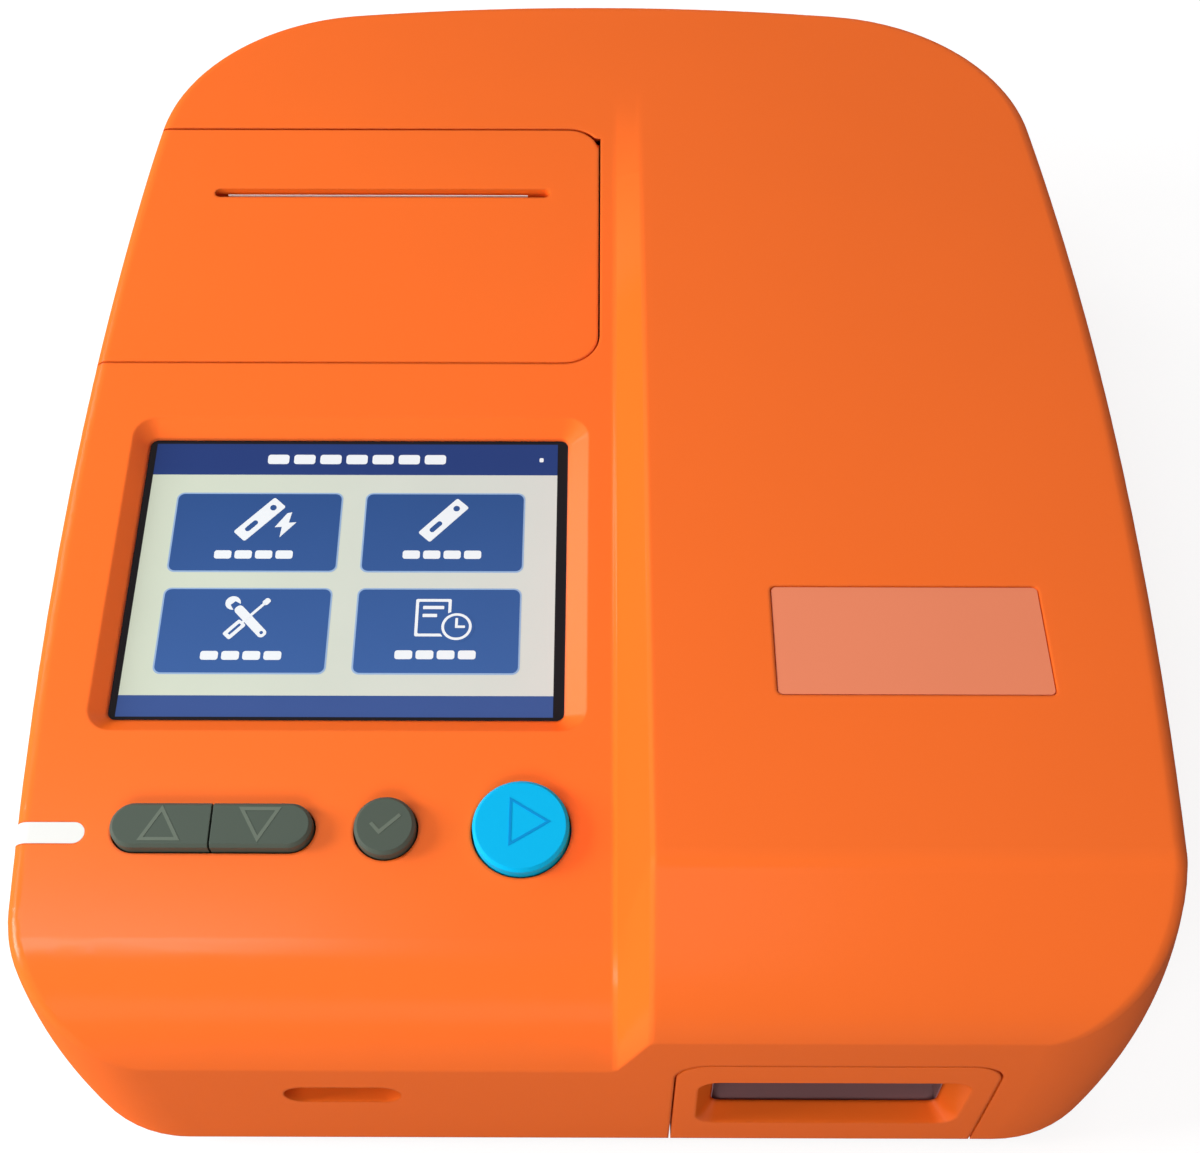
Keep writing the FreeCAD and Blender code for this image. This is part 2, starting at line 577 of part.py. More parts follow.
def inner_fittings(outer):
    """Bosses, posts and thick places inside the casing's wall."""
    hung = [on_panel(stem(x, w, GLASS_N - MODULE[2], 0, LCD_POST_R)) for x, w in LCD_POSTS]
    hung += [on_panel(stem(x, w, KEY_BOARD_N, 0, KEY_POST_R)) for x, w in KEY_POSTS]
    standing = [stem(x, y, FLOOR_Z, TOP_Z, BOSS_R) for x, y in SCREWS]
    pads = [box(SWITCH_X - 13, SWITCH_X + 13, REAR_Y - PAD_IN, REAR_Y, SWITCH_Z - 10, SWITCH_Z + 10),
            box(JACK_X - 9, USB_X + 12, IO_REAR + SLIDE, REAR_Y, BOARD_TOP - 3, BOARD_TOP + 15),
            box(CHIP_X - 12, CHIP_X + 12, FRONT_Y, FRONT_Y + CHIP_SLEEVE, CHIP_Z - 6, CHIP_Z + 6)]
    return [outer.common(s) for s in hung + standing + pads]


def back_openings():
    """Holes for the two sockets, and the switch's hole with a sunk place for its rim."""
    cuts = []
    for x, (w, h, _) in ((JACK_X, JACK), (USB_X, USB)):
        half, top = w / 2 + PORT_GAP, BOARD_TOP + h + PORT_GAP
        cuts.append(box(x - half, x + half, REAR_Y - BACK_CUT, REAR_Y + REACH, BOARD_TOP, top))
    for grow, y in ((PORT_GAP / 2, REAR_Y - BACK_CUT), (SWITCH_RIM + PORT_GAP, SWITCH_Y)):
        w, h = SWITCH_BODY[0] / 2 + grow, SWITCH_BODY[1] / 2 + grow
        cuts.append(box(SWITCH_X - w, SWITCH_X + w, y, REAR_Y + REACH, SWITCH_Z - h, SWITCH_Z + h))
    return cuts


def make_case_top(outer, inner):
    shell = outer.cut(inner).fuse(inner_fittings(outer))
    w, h, r = RECESS_OUT
    foot_w, foot_h, foot_r = RECESS_IN
    cuts = [funnel((LCD_X + 0.3, 0, foot_w, foot_h, foot_r, GLASS_N),
                   (LCD_X + 0.3 + RECESS_SHIFT, 0.2, w, h, r, 0.05))]
    cuts += [key_space(kind, 0.0, -WALL - 0.5, REACH) for kind in ("pill", "ok", "start")]
    cuts.append(door_region(GAP, COVER_RISE / math.cos(math.radians(COVER_OPEN / 2 + 2))))
    cuts = [on_panel(c) for c in cuts]
    cuts.append(rounded_block(LABEL_X, LABEL_Y, LABEL_L, LABEL_D, LABEL_R, TOP_Z - LABEL_DEEP, TOP_Z + REACH))
    cuts.append(front_slot(CHIP_X, CHIP_Z, CHIP_L, CHIP_H, FRONT_Y - REACH, FRONT_Y + CHIP_SLEEVE + 1))
    cuts += [drawer_front_region(GAP), bar_region(PIN_GAP)]
    cuts += [stem(x, y, SKIRT_Z - 1, FLOOR_Z + SCREW_L + 5, SCREW_R + PIN_GAP) for x, y in SCREWS]
    PARTS["case_top"] = shell.cut(cuts + back_openings())


def make_cover(outer, inner):
    """The printer cover: the casing's wall inside the seam, its slit and two hinge knuckles."""
    reach = rod_x(HINGE_W - DOOR_W0 + 0.1, -SIDE_X, SIDE_X, HINGE_W, HINGE_N)
    reach = reach.fuse(box(-SIDE_X, SIDE_X, DOOR_W0 - 5, HINGE_W, HINGE_N + 3, REACH))
    cover = outer.cut(inner).common(on_panel(door_region(0, COVER_RISE + 0.5))).common(on_panel(reach))
    cover = cover.cut(on_panel(slot_block(SLIT_X, SLIT_W, SLIT_L, SLIT_T, -WALL - 3, REACH)))
    for x in KNUCKLES:
        barrel = rod_x(KNUCKLE_R, x, x + KNUCKLE_L, HINGE_W, HINGE_N)
        web = box(x, x + KNUCKLE_L, HINGE_W - KNUCKLE_R, HINGE_W + KNUCKLE_R, HINGE_N, 0)
        cover = cover.fuse([on_panel(barrel), on_panel(web).common(outer)])
        cover = cover.cut(on_panel(rod_x(HINGE_PIN_R + PIN_GAP, x - 1, x + KNUCKLE_L + 1, HINGE_W, HINGE_N)))
    PARTS["printer_cover"] = cover


def make_light_bar(outer, inner):
    """Follows the wall over the left edge, with a leg down to its lamp."""
    leg = post(LAMP_X, BAR_W, LAMP_SIDE, -BAR_DROP - 0.2, -1.5)
    bar = outer.cut(inner).common(bar_region(0))
    PARTS["light_bar"] = bar.fuse(on_panel(leg).common(outer)).removeSplitter()


def make_drawer_front(outer):
    """The casing's front wall inside the seam, thicker, with a funnel mouth."""
    wall = outer.cut(casing(FRONT_T, True)).common(drawer_front_region(0))
    wall = wall.common(box(-SIDE_X, SIDE_X, FRONT_Y - 1, TRAY_FRONT, 0, TOP_Z))
    low, high = MOUTH_LOW, MOUTH_HIGH
    low_in, high_in = MOUTH_LOW_IN, MOUTH_HIGH_IN
    mouth = funnel((0, -(low + high) / 2, 2 * MOUTH_OUT, high - low, MOUTH_R, -0.05),
                   (0, -(low_in + high_in) / 2, 2 * MOUTH_IN, high_in - low_in, MOUTH_R_IN, FRONT_T + 0.2))
    mouth.rotate(V(0, 0, 0), V(1, 0, 0), -90)
    mouth.translate(V(DRAWER_X, FRONT_Y, 0))
    PARTS["drawer_front"] = wall.cut(mouth)


def make_casing():
    outer = casing(0, False)
    top = [e for e in outer.Edges if e.CenterOfMass.z > TOP_Z - 0.5 and e.CenterOfMass.y > CREST_Y + 10]
    outer = outer.makeFillet(EDGE_R, [max(top, key=lambda e: e.CenterOfMass.x)])
    inner = casing(WALL, True)
    low = Part.Face(wire_of(outline(SKIRT_Z, SKIRT_IN, WALL))).extrude(V(0, 0, -SKIRT_Z))
    inner = inner.fuse(low)
    make_case_top(outer, inner)
    make_cover(outer, inner)
    make_light_bar(outer, inner)
    make_drawer_front(outer)


# ---- base, feet and screws

def tub_posts():
    """Posts from the base up to the tub's sloping floor."""
    above = on_panel(box(-SIDE_X, SIDE_X, -SIDE_X, SIDE_X, TUB_N, REACH))
    near, far = TUB_POST_IN, 2 * TUB_POST_IN
    places = corners_of(TUB_X0 + near, TUB_X1 - near, TUB_W0 + near, TUB_W1 - far)
    posts = []
    for x, w in places:
        y = PANEL.multVec(V(x, w, TUB_N)).y
        posts.append(post(x, y, TUB_POST_SIDE, FLOOR_Z, TOP_Z).cut(above))
    return posts


def board_posts(board):
    x0, x1, y0, y1 = board
    places = corners_of(x0 + POST_IN, x1 - POST_IN, y0 + POST_IN, y1 - POST_IN)
    return [post(x, y, POST_SIDE, FLOOR_Z, BOARD_Z) for x, y in places]


def row_of_slots(x, y, count):
    return [slot_block(x, y + SLOT_STEP * i, SLOT_L, SLOT_W, 0, FLOOR_Z + 1) for i in range(count)]


def make_base():
    plate = Part.Face(wire_of(outline(SKIRT_Z, SKIRT_IN, WALL + GAP))).extrude(V(0, 0, BASE_T))
    add = board_posts(BOARD) + board_posts(IO_BOARD) + tub_posts()
    ring = stem(SPEAKER_X, SPEAKER_Y, FLOOR_Z, FLOOR_Z + 3.5, SPEAKER_R + 1.8)
    add.append(ring.cut(stem(SPEAKER_X, SPEAKER_Y, FLOOR_Z, FLOOR_Z + 4, SPEAKER_R + 0.2)))
    x0, x1, y0, y1 = BATTERY
    nest = box(x0 - 0.1, x1 + 0.1, y0 - 0.1, y1 + 0.1, FLOOR_Z, TOP_Z)
    add += [post(x, y, NEST_SIDE, FLOOR_Z, FLOOR_Z + NEST_H).cut(nest) for x, y in corners_of(x0, x1, y0, y1)]
    half = DRAWER_HALF + 2 * GAP
    cuts = [box(DRAWER_X - half, DRAWER_X + half, FRONT_Y - 5, TRAY_FRONT + 2 * GAP, 0, FLOOR_Z + 1)]
    for x, y in SCREWS:
        cuts.append(stem(x, y, 0, FLOOR_Z + 1, SCREW_R + 0.5))
        cuts.append(stem(x, y, 0, SKIRT_Z + 0.1 + SCREW_HEAD_H, SCREW_HEAD_R + 0.2))
    cuts += [stem(x, y, 0, SKIRT_Z + FOOT_SUNK, FOOT_R + 0.1) for x, y in FEET]
    cuts += row_of_slots(VENT_X, VENT_Y, VENTS)
    first = SPEAKER_Y - SLOT_STEP * (SPEAKER_SLOTS - 1) / 2
    cone = stem(SPEAKER_X, SPEAKER_Y, 0, TOP_Z, SPEAKER_R - 2)
    cuts += [slot.common(cone) for slot in row_of_slots(SPEAKER_X, first, SPEAKER_SLOTS)]
    PARTS["case_bottom"] = plate.fuse(add).cut(cuts)
    for i, (x, y) in enumerate(FEET):
        PARTS["foot_%d" % (i + 1)] = stem(x, y, 0, SKIRT_Z + FOOT_SUNK, FOOT_R)
    for i, (x, y) in enumerate(SCREWS):
        seat = SKIRT_Z + 0.1 + SCREW_HEAD_H
        head = stem(x, y, SKIRT_Z + 0.1, seat, SCREW_HEAD_R)
        PARTS["case_screw_%d" % (i + 1)] = head.fuse(stem(x, y, seat, FLOOR_Z + SCREW_L, SCREW_R))


# ---- display and keys

def make_display():
    w, h, t = MODULE
    low, high = -h / 2 - MODULE_DOWN, h / 2 - MODULE_DOWN
    module = box(LCD_X - w / 2, LCD_X + w / 2, low, high, GLASS_N - t, GLASS_N)
    lit = box(LCD_X - LCD_W / 2, LCD_X + LCD_W / 2, -LCD_H / 2, LCD_H / 2, GLASS_N - LIT_T, GLASS_N)
    PARTS["lcd_module"] = on_panel(module.cut(lit))
    PARTS["lcd_active"] = on_panel(lit)
    half, tall, thick = BRACKET
    top = GLASS_N - t
    frame = box(LCD_X - half, LCD_X + half, -tall - 1, tall - 1, top - thick, top)
    wide, high = BRACKET_HOLE
    frame = frame.cut(box(LCD_X - wide, LCD_X + wide, -high - 1, high - 1, top - thick, top))
    frame = frame.cut([stem(x, y, top - thick, top, LCD_POST_R / 2) for x, y in LCD_POSTS])
    PARTS["lcd_bracket"] = on_panel(frame)
    PARTS["label_plate"] = rounded_block(LABEL_X, LABEL_Y, LABEL_L - 0.4, LABEL_D - 0.4, LABEL_R - 0.2,
                                         TOP_Z - LABEL_DEEP, TOP_Z - 0.1)


def key(kind):
    """Cap with a bevelled edge, a flange under the wall and a stem down to its switch."""
    plan = "pill" if kind in ("up", "down") else kind
    cap = key_space(plan, -GAP, FLANGE_N, KEY_PROUD)
    cap = cap.makeChamfer(KEY_EDGE, [e for e in cap.Edges if e.BoundBox.ZMin > KEY_PROUD - 0.01])
    body = cap.fuse(key_space(plan, KEY_FLANGE, FLANGE_N - FLANGE_T, FLANGE_N))
    if plan == "pill":
        side = -1 if kind == "up" else 1
        x0, x1 = pair(PILL_X, side * GAP / 2, side * PILL[0])
        body = body.common(box(x0, x1, KEY_W - PILL[0], KEY_W + PILL[0], -REACH, REACH))
    x = KEYS[kind]
    thick = stem(x, KEY_W, STEM_N, FLANGE_N - FLANGE_T, STEM_R)
    return body.fuse([thick, stem(x, KEY_W, STEM_N - TIP_L, STEM_N, TIP_R)])


def make_keys():
    x0, x1, w0, w1 = KEY_BOARD
    low = KEY_BOARD_N - BOARD_T
    board = box(x0, x1, w0, w1, low, KEY_BOARD_N)
    lamp = post(LAMP_X, BAR_W, LAMP_SIDE, KEY_BOARD_N, -BAR_DROP - 0.4)
    a, b, c, d, deep = PLUG
    PARTS["key_board"] = on_panel(board.fuse([lamp, box(a, b, c, d, low - deep, low)]))
    for kind, x in KEYS.items():
        body = post(x, KEY_W, SWITCH_SIDE, KEY_BOARD_N, SWITCH_TOP)
        PARTS["switch_" + kind] = on_panel(body.cut(stem(x, KEY_W, KEY_BOARD_N + 0.5, 0, TIP_R + 0.1)))
        PARTS["key_" + kind] = on_panel(key(kind))


# ---- printer

def make_tub():
    inside = TUB_N + TUB_T
    tub = box(TUB_X0, TUB_X1, TUB_W0, TUB_W1, TUB_N, FLANGE_N - 0.2)
    tub = tub.cut([box(TUB_X0 + TUB_T, TUB_X1 - TUB_T, TUB_W0 + TUB_T, TUB_W1 - TUB_T, inside, REACH),
                   box(-SIDE_X, SIDE_X, TUB_NOTCH_W, TUB_W1 + 1, TUB_NOTCH_N, REACH)])
    # lips under the casing's wall, before the cover and beside it
    add = [box(TUB_X0 + 4, TUB_X1 - 4, TUB_W0 - 3, TUB_W0 + 0.5, -2 * WALL, -WALL),
           box(DOOR_X + 2 * GAP, TUB_X1 + 1, TUB_W0, TUB_NOTCH_W - 1, -2 * WALL, -WALL)]
    bore = SPINDLE_R + PIN_GAP
    for x in (LCD_X - CRADLE_HALF, LCD_X + CRADLE_HALF - CRADLE_T):
        plate = box(x, x + CRADLE_T, ROLL_W - CRADLE_W / 2, ROLL_W + CRADLE_W / 2, inside - 0.5, ROLL_N + 4)
        plate = plate.cut(rod_x(bore, x, x + CRADLE_T, ROLL_W, ROLL_N))
        add.append(plate.cut(box(x, x + CRADLE_T, ROLL_W - bore, ROLL_W + bore, ROLL_N, ROLL_N + 5)))
    low, w0 = TUB_NOTCH_N - 4, HINGE_W - 0.8
    for knuckle in KNUCKLES:
        for x in (knuckle - GAP - LUG_T, knuckle + KNUCKLE_L + GAP):
            lug = rod_x(LUG_R, x, x + LUG_T, HINGE_W, HINGE_N)
            lug = lug.fuse([box(x, x + LUG_T, w0, HINGE_W + 1.9, low, HINGE_N),
                            box(x, x + LUG_T, w0, TUB_W1 - 0.5, low, TUB_NOTCH_N - 0.5)])
            add.append(lug.cut(rod_x(HINGE_PIN_R + PIN_GAP / 2, x, x + LUG_T, HINGE_W, HINGE_N)))
    PARTS["printer_tub"] = on_panel(tub.fuse(add))
    x0, x1 = KNUCKLES[0] - LUG_T - 2, KNUCKLES[1] + KNUCKLE_L + LUG_T + 2
    PARTS["hinge_pin"] = on_panel(rod_x(HINGE_PIN_R, x0, x1, HINGE_W, HINGE_N))


def make_print_frame():
    x0, x1 = FRAME_X
    w0, w1 = FRAME_W
    low = TUB_N + TUB_T
    frame = box(x0, x0 + FRAME_T, w0, w1, low, FRAME_TOP)
    frame = frame.fuse([box(x1 - FRAME_T, x1, w0, w1, low, FRAME_TOP),
                        box(x0, x1, w0, w1, low, low + FRAME_T),
                        box(x0, x1, w0, w0 + HEAD_WALL, HEAD_N[0], FRAME_TOP)])
    frame = frame.cut(rod_x(PLATEN_SHAFT_R + PIN_GAP, x0 - 1, x1 + 1, PLATEN_W, PLATEN_N))
    frame = frame.fuse(rod_x(IDLER_PIN_R, x1 - 1, FEED_GEAR_X[1] + 0.3, PLATEN_W, IDLER_N))
    frame = frame.cut(rod_x(FEED_SHAFT_R + PIN_GAP, x1 - FRAME_T - 1, x1 + 1, PLATEN_W, FEED_N))
    PARTS["print_frame"] = on_panel(frame)
    face = SLIT_W - PAPER_T / 2 - PRINT_GAP
    head = box(RUBBER_X[0], RUBBER_X[1], w0 + HEAD_WALL, face, HEAD_N[0], HEAD_N[1])
    PARTS["thermal_head"] = on_panel(head)
    motor = rod_x(FEED_MOTOR_R, x1 - FRAME_T - FEED_MOTOR_L, x1 - FRAME_T, PLATEN_W, FEED_N)
    hole = rod_x(FEED_SHAFT_R + PIN_GAP, x1 - FRAME_T - FEED_SHAFT_IN - GAP, x1, PLATEN_W, FEED_N)
    PARTS["feed_motor"] = on_panel(motor.cut(hole))


def make_print_drive():
    """Platen with its gear, the idler and the motor's pinion."""
    shaft = rod_x(PLATEN_SHAFT_R, FRAME_X[0] - 0.8, FEED_GEAR_X[1] + 0.3, PLATEN_W, PLATEN_N)
    PARTS["platen_shaft"] = on_panel(shaft)
    rubber = rod_x(PLATEN_R, RUBBER_X[0], RUBBER_X[1], PLATEN_W, PLATEN_N)
    hole = rod_x(PLATEN_SHAFT_R, RUBBER_X[0], RUBBER_X[1], PLATEN_W, PLATEN_N)
    PARTS["platen_rubber"] = on_panel(rubber.cut(hole))
    x0, x1 = FEED_GEAR_X
    bores = (PLATEN_SHAFT_R, IDLER_PIN_R + PIN_GAP, FEED_SHAFT_R / 2)
    turns = (0, 180.0 / FEED_TEETH[1], 0)
    gears = []
    for teeth, bore, turn, n in zip(FEED_TEETH, bores, turns, (PLATEN_N, IDLER_N, FEED_N)):
        g = gear(teeth, FEED_M, x0, x1, bore, 0.08)
        g.rotate(V(0, 0, 0), V(0, 0, 1), turn)
        g.rotate(V(0, 0, 0), V(0, 1, 0), 90)
        g.translate(V(0, PLATEN_W, n))
        gears.append(g)
    axle = rod_x(FEED_SHAFT_R, FRAME_X[1] - FRAME_T - FEED_SHAFT_IN, x1, PLATEN_W, FEED_N)
    PARTS["platen_gear"] = on_panel(gears[0])
    PARTS["idler_gear"] = on_panel(gears[1])
    PARTS["feed_pinion"] = on_panel(gears[2].fuse(axle))


def make_paper():
    x0, x1 = LCD_X - PAPER_WIDTH / 2, LCD_X + PAPER_WIDTH / 2
    roll = rod_x(ROLL_R, x0, x1, ROLL_W, ROLL_N).cut(rod_x(CORE_R, x0, x1, ROLL_W, ROLL_N))
    core = rod_x(CORE_R, x0, x1, ROLL_W, ROLL_N).cut(rod_x(SPINDLE_R, x0, x1, ROLL_W, ROLL_N))
    PARTS["paper_roll"] = on_panel(roll)
    PARTS["roll_core"] = on_panel(core)
    spindle = rod_x(SPINDLE_R, LCD_X - SPINDLE_HALF, LCD_X + SPINDLE_HALF, ROLL_W, ROLL_N)
    PARTS["roll_spindle"] = on_panel(spindle)
    # the strip leaves the roll on its tangent, meets the print line and runs up into the slit
    turn_n = HEAD_N[0] - 1.5
    r = ROLL_R + PAPER_T / 2
    dw, dn = SLIT_W - ROLL_W, turn_n - ROLL_N
    lift = math.atan2(dn, dw) - math.acos(r / math.hypot(dw, dn))
    leave = (ROLL_W + r * math.cos(lift), ROLL_N + r * math.sin(lift))
    run = math.atan2(turn_n - leave[1], SLIT_W - leave[0])
    h = PAPER_T / 2
    lean = h * math.tan((math.pi / 2 - run) / 2)
    back = (leave[0] + PAPER_T * math.sin(run), leave[1] - PAPER_T * math.cos(run))
    side = [back, (SLIT_W + h, turn_n - lean), (SLIT_W + h, PAPER_END), (SLIT_W - h, PAPER_END),
            (SLIT_W - h, turn_n + lean), leave]
    PARTS["paper_strip"] = on_panel(prism([V(x0, w, n) for w, n in side], V(PAPER_WIDTH, 0, 0)))


# ---- boards and back panel

def board_x(board, x):
    """A place along a board, from its left edge, or from its right edge if x is below zero."""
    return (board[0] if x >= 0 else board[1]) + x


def chips_on(board, chips):
    y, top = board[2], BOARD_TOP
    return [box(board_x(board, a), board_x(board, b), y + c, y + d, top, top + h) for a, b, c, d, h in chips]


def make_boards():
    cans = [stem(board_x(BOARD, x), BOARD[2] + y, BOARD_TOP, BOARD_TOP + CAN_H, CAN_R) for x, y in CANS]
    PARTS["main_board"] = box(*BOARD, BOARD_Z, BOARD_TOP).fuse(chips_on(BOARD, CHIPS) + cans)
    PARTS["io_board"] = box(*IO_BOARD, BOARD_Z, BOARD_TOP).fuse(chips_on(IO_BOARD, IO_CHIPS))
    w, deep = CHIP_SOCKET
    hole_w, hole_h, hole_deep = CHIP_HOLE
    near, far = FRONT_Y + CHIP_SLEEVE + GAP, FRONT_Y + deep
    socket = box(CHIP_X - w / 2, CHIP_X + w / 2, near, far, BOARD_TOP, CHIP_Z + hole_h)
    hole = box(CHIP_X - hole_w / 2, CHIP_X + hole_w / 2, FRONT_Y, FRONT_Y + hole_deep,
               CHIP_Z - hole_h / 2, CHIP_Z + hole_h / 2)
    PARTS["chip_socket"] = socket.cut(hole)


def make_ports():
    w, h, deep = JACK
    y1, z = rear_y(JACK_X) - 0.9, BOARD_TOP + h / 2 + 0.5
    jack = box(JACK_X - w / 2, JACK_X + w / 2, y1 - deep, y1, BOARD_TOP, BOARD_TOP + h)
    jack = jack.cut(rod(3.1, V(JACK_X, y1 - 11, z), V(JACK_X, y1, z)))
    PARTS["power_inlet"] = jack.fuse(rod(1.0, V(JACK_X, y1 - 12, z), V(JACK_X, y1 - 1.5, z)))
    w, h, deep = USB
    y1 = rear_y(USB_X) - 0.9
    port = box(USB_X - w / 2, USB_X + w / 2, y1 - deep, y1, BOARD_TOP, BOARD_TOP + h)
    half = w / 2 - USB_T
    port = port.cut(box(USB_X - half, USB_X + half, y1 - 13, y1, BOARD_TOP + USB_T, BOARD_TOP + h - USB_T))
    half -= USB_T
    tongue = box(USB_X - half, USB_X + half, y1 - 14, y1 - 2, BOARD_TOP + 3.9, BOARD_TOP + 5.6)
    PARTS["data_port"] = port.fuse(tongue)
    PARTS["speaker"] = stem(SPEAKER_X, SPEAKER_Y, FLOOR_Z, FLOOR_Z + SPEAKER_H, SPEAKER_R)
    x0, x1, y0, y1 = BATTERY
    pack = box(x0, x1, y0, y1, FLOOR_Z, FLOOR_Z + BATTERY_H)
    upper = [e for e in pack.Edges if abs(e.tangentAt(0).x) > 0.9 and e.BoundBox.ZMin > FLOOR_Z + 1]
    PARTS["battery_pack"] = pack.makeFillet(BATTERY_R, upper)


def make_switch():
    w, h, d = SWITCH_BODY
    x, z, y = SWITCH_X, SWITCH_Z, SWITCH_Y
    rim_w, rim_h = w / 2 + SWITCH_RIM, h / 2 + SWITCH_RIM
    long, tall = ROCKER
    body = box(x - w / 2, x + w / 2, y - d, y, z - h / 2, z + h / 2)
    body = body.fuse(box(x - rim_w, x + rim_w, y, y + SWITCH_RIM_T, z - rim_h, z + rim_h))
    body = body.cut(box(x - long - 0.7, x + long + 0.7, y - 6, y + 5, z - tall - GAP, z + tall + GAP))
    pin_y = y - 1.2
    body = body.cut(stem(x, pin_y, z - tall - 1.3, z + tall + 1.3, ROCKER_PIN_R + PIN_GAP))
    tabs = [box(x - 6 + 5 * i, x - 4 + 5 * i, y - d - 6, y - d, z - 0.4, z + 0.4) for i in range(3)]
    PARTS["switch_housing"] = body.fuse(tabs).removeSplitter()
    right = [(0.3, 1.9), (long, 3.0), (long, -0.6), (3.0, -2.2)]
    side = right + [(-a, b) for a, b in reversed(right)]
    rocker = prism([V(x + a, pin_y + b, z - tall) for a, b in side], V(0, 0, 2 * tall))
    rocker = rocker.fuse(stem(x, pin_y, z - tall - 1.1, z + tall + 1.1, ROCKER_PIN_R))
    rocker.rotate(V(x, pin_y, z), V(0, 0, 1), -ROCK)
    PARTS["switch_rocker"] = rocker


# ---- drawer, its drive and the optics

def make_tray():
    half = TRAY_HALF
    tray = box(DRAWER_X - half, DRAWER_X + half, TRAY_FRONT, TRAY_REAR, TRAY_LOW, TRAY_TOP)
    cuts = [box(DRAWER_X - MOUTH_IN, DRAWER_X + MOUTH_IN, TRAY_FRONT, TRAY_REAR - 3, TRAY_FLOOR, TRAY_TOP)]
    ribs = []
    for s in (-1, 1):
        a, b = pair(DRAWER_X, s * (half - GROOVE_IN), s * (half + 1))
        cuts.append(box(a, b, TRAY_FRONT + 1.5, TRAY_REAR + 1, GROOVE_Z[0], GROOVE_Z[1]))
        a, b = pair(DRAWER_X, s * MOUTH_IN, s * (MOUTH_IN - TRAY_RIB))
        ribs.append(box(a, b, TRAY_FRONT + 14, TRAY_REAR - 2, TRAY_FLOOR, TRAY_FLOOR + TRAY_RIB_H))
    PARTS["drawer_tray"] = tray.cut(cuts).fuse(ribs).removeSplitter()


def make_guide():
    out = TRAY_HALF + GUIDE_OUT
    guide = box(DRAWER_X - out, DRAWER_X + out, GUIDE_FRONT, GUIDE_REAR, FLOOR_Z, TRAY_LOW - GAP)
    add = []
    for s in (-1, 1):
        a, b = pair(DRAWER_X, s * (TRAY_HALF + SLIDE), s * out)
        add.append(box(a, b, GUIDE_FRONT, GUIDE_REAR, FLOOR_Z, GUIDE_TOP))
        a, b = pair(DRAWER_X, s * (TRAY_HALF - RAIL_IN), s * out)
        add.append(box(a, b, GUIDE_FRONT, GUIDE_REAR, GROOVE_Z[0] + SLIDE, GROOVE_Z[1] - SLIDE))
    PARTS["drawer_guide"] = guide.fuse(add).removeSplitter()


def make_rack():
    """Rack on the tray's right side, in mesh with the pinion at rest."""
    line = PINION_X - MODULUS * PINION_TEETH / 2
    back = DRAWER_X + TRAY_HALF
    root, tip = line - 1.15 * MODULUS, line + 0.9 * MODULUS
    pitch = math.pi * MODULUS
    thick = pitch / 4 - 0.06
    slope = math.tan(math.radians(20))
    wide, narrow = thick + (line - root) * slope, thick - (tip - line) * slope
    y0, y1 = PINION_Y - 4, TRAY_REAR - 1
    points = [V(back, y0, RACK_Z0), V(root, y0, RACK_Z0)]
    first = -int((PINION_Y - y0) / pitch)
    last = int((y1 - PINION_Y) / pitch)
    tooth = ((root, -wide), (tip, -narrow), (tip, narrow), (root, wide))
    for k in range(first, last):
        c = PINION_Y + (k + 0.5) * pitch
        points += [V(x, c + y, RACK_Z0) for x, y in tooth]
    points += [V(root, y1, RACK_Z0), V(back, y1, RACK_Z0)]
    PARTS["drawer_rack"] = prism(points, V(0, 0, RACK_Z1 - RACK_Z0))


def make_drawer_drive():
    x, y = PINION_X, PINION_Y
    pinion = gear(PINION_TEETH, MODULUS, RACK_Z0, RACK_Z1, PINION_SHAFT_R / 2, 0.1)
    pinion = pinion.fuse(stem(0, 0, RACK_Z0, SHAFT_TOP, PINION_SHAFT_R))
    pinion.translate(V(x, y, 0))
    PARTS["drive_pinion"] = pinion
    y0, y1, x0, x1 = y - 7, y + 8, x + 8.8, x + 10.6
    top = MOTOR_BRACKET_Z + BRACKET_T
    bracket = box(x - 7, x1, y0, y1, MOTOR_BRACKET_Z, top)
    bracket = bracket.fuse([box(x0, x1, y0, y1, FLOOR_Z, top), box(x + 2, x1, y0, y1, FLOOR_Z, FLOOR_Z + 2)])
    bore = PINION_SHAFT_R + PIN_GAP
    PARTS["motor_bracket"] = bracket.cut(stem(x, y, MOTOR_BRACKET_Z, top, bore)).removeSplitter()
    motor = stem(x, y, top, top + DRAWER_MOTOR_H, DRAWER_MOTOR_R)
    PARTS["drive_motor"] = motor.cut(stem(x, y, top, SHAFT_TOP + 0.2, bore))


def make_optics():
    x0, x1 = DRAWER_X - TRAY_HALF - BRIDGE_IN, DRAWER_X + TRAY_HALF + BRIDGE_OUT
    y0, y1 = BRIDGE_Y
    low = OPTIC_Z - BRIDGE_T
    bridge = box(x0 - BRIDGE_LEG, x1 + BRIDGE_LEG, y0, y1, low, OPTIC_Z)
    legs = [box(x0 - BRIDGE_LEG, x0, y0, y1, FLOOR_Z, low), box(x1, x1 + BRIDGE_LEG, y0, y1, FLOOR_Z, low)]
    bridge = bridge.fuse(legs)
    hole = stem(DRAWER_X, OPTIC_Y, low, LENS_Z[1], LENS_R + PIN_GAP)
    PARTS["optic_bridge"] = bridge.cut(hole)
    top = OPTIC_Z + HEAD_H
    head = box(DRAWER_X - HEAD_HALF, DRAWER_X + HEAD_HALF, HEAD_Y[0], HEAD_Y[1], OPTIC_Z, top)
    barrel = rod(BARREL_R, V(DRAWER_X, HEAD_Y[0], BARREL_Z), V(DRAWER_X, HEAD_Y[0] - BARREL_L, BARREL_Z))
    head = head.fuse([barrel, stem(DRAWER_X, OPTIC_Y, top, top + CAP_H, CAP_R)])
    PARTS["optic_head"] = head.cut(hole)
    PARTS["optic_lens"] = stem(DRAWER_X, OPTIC_Y, LENS_Z[0], LENS_Z[1], LENS_R)


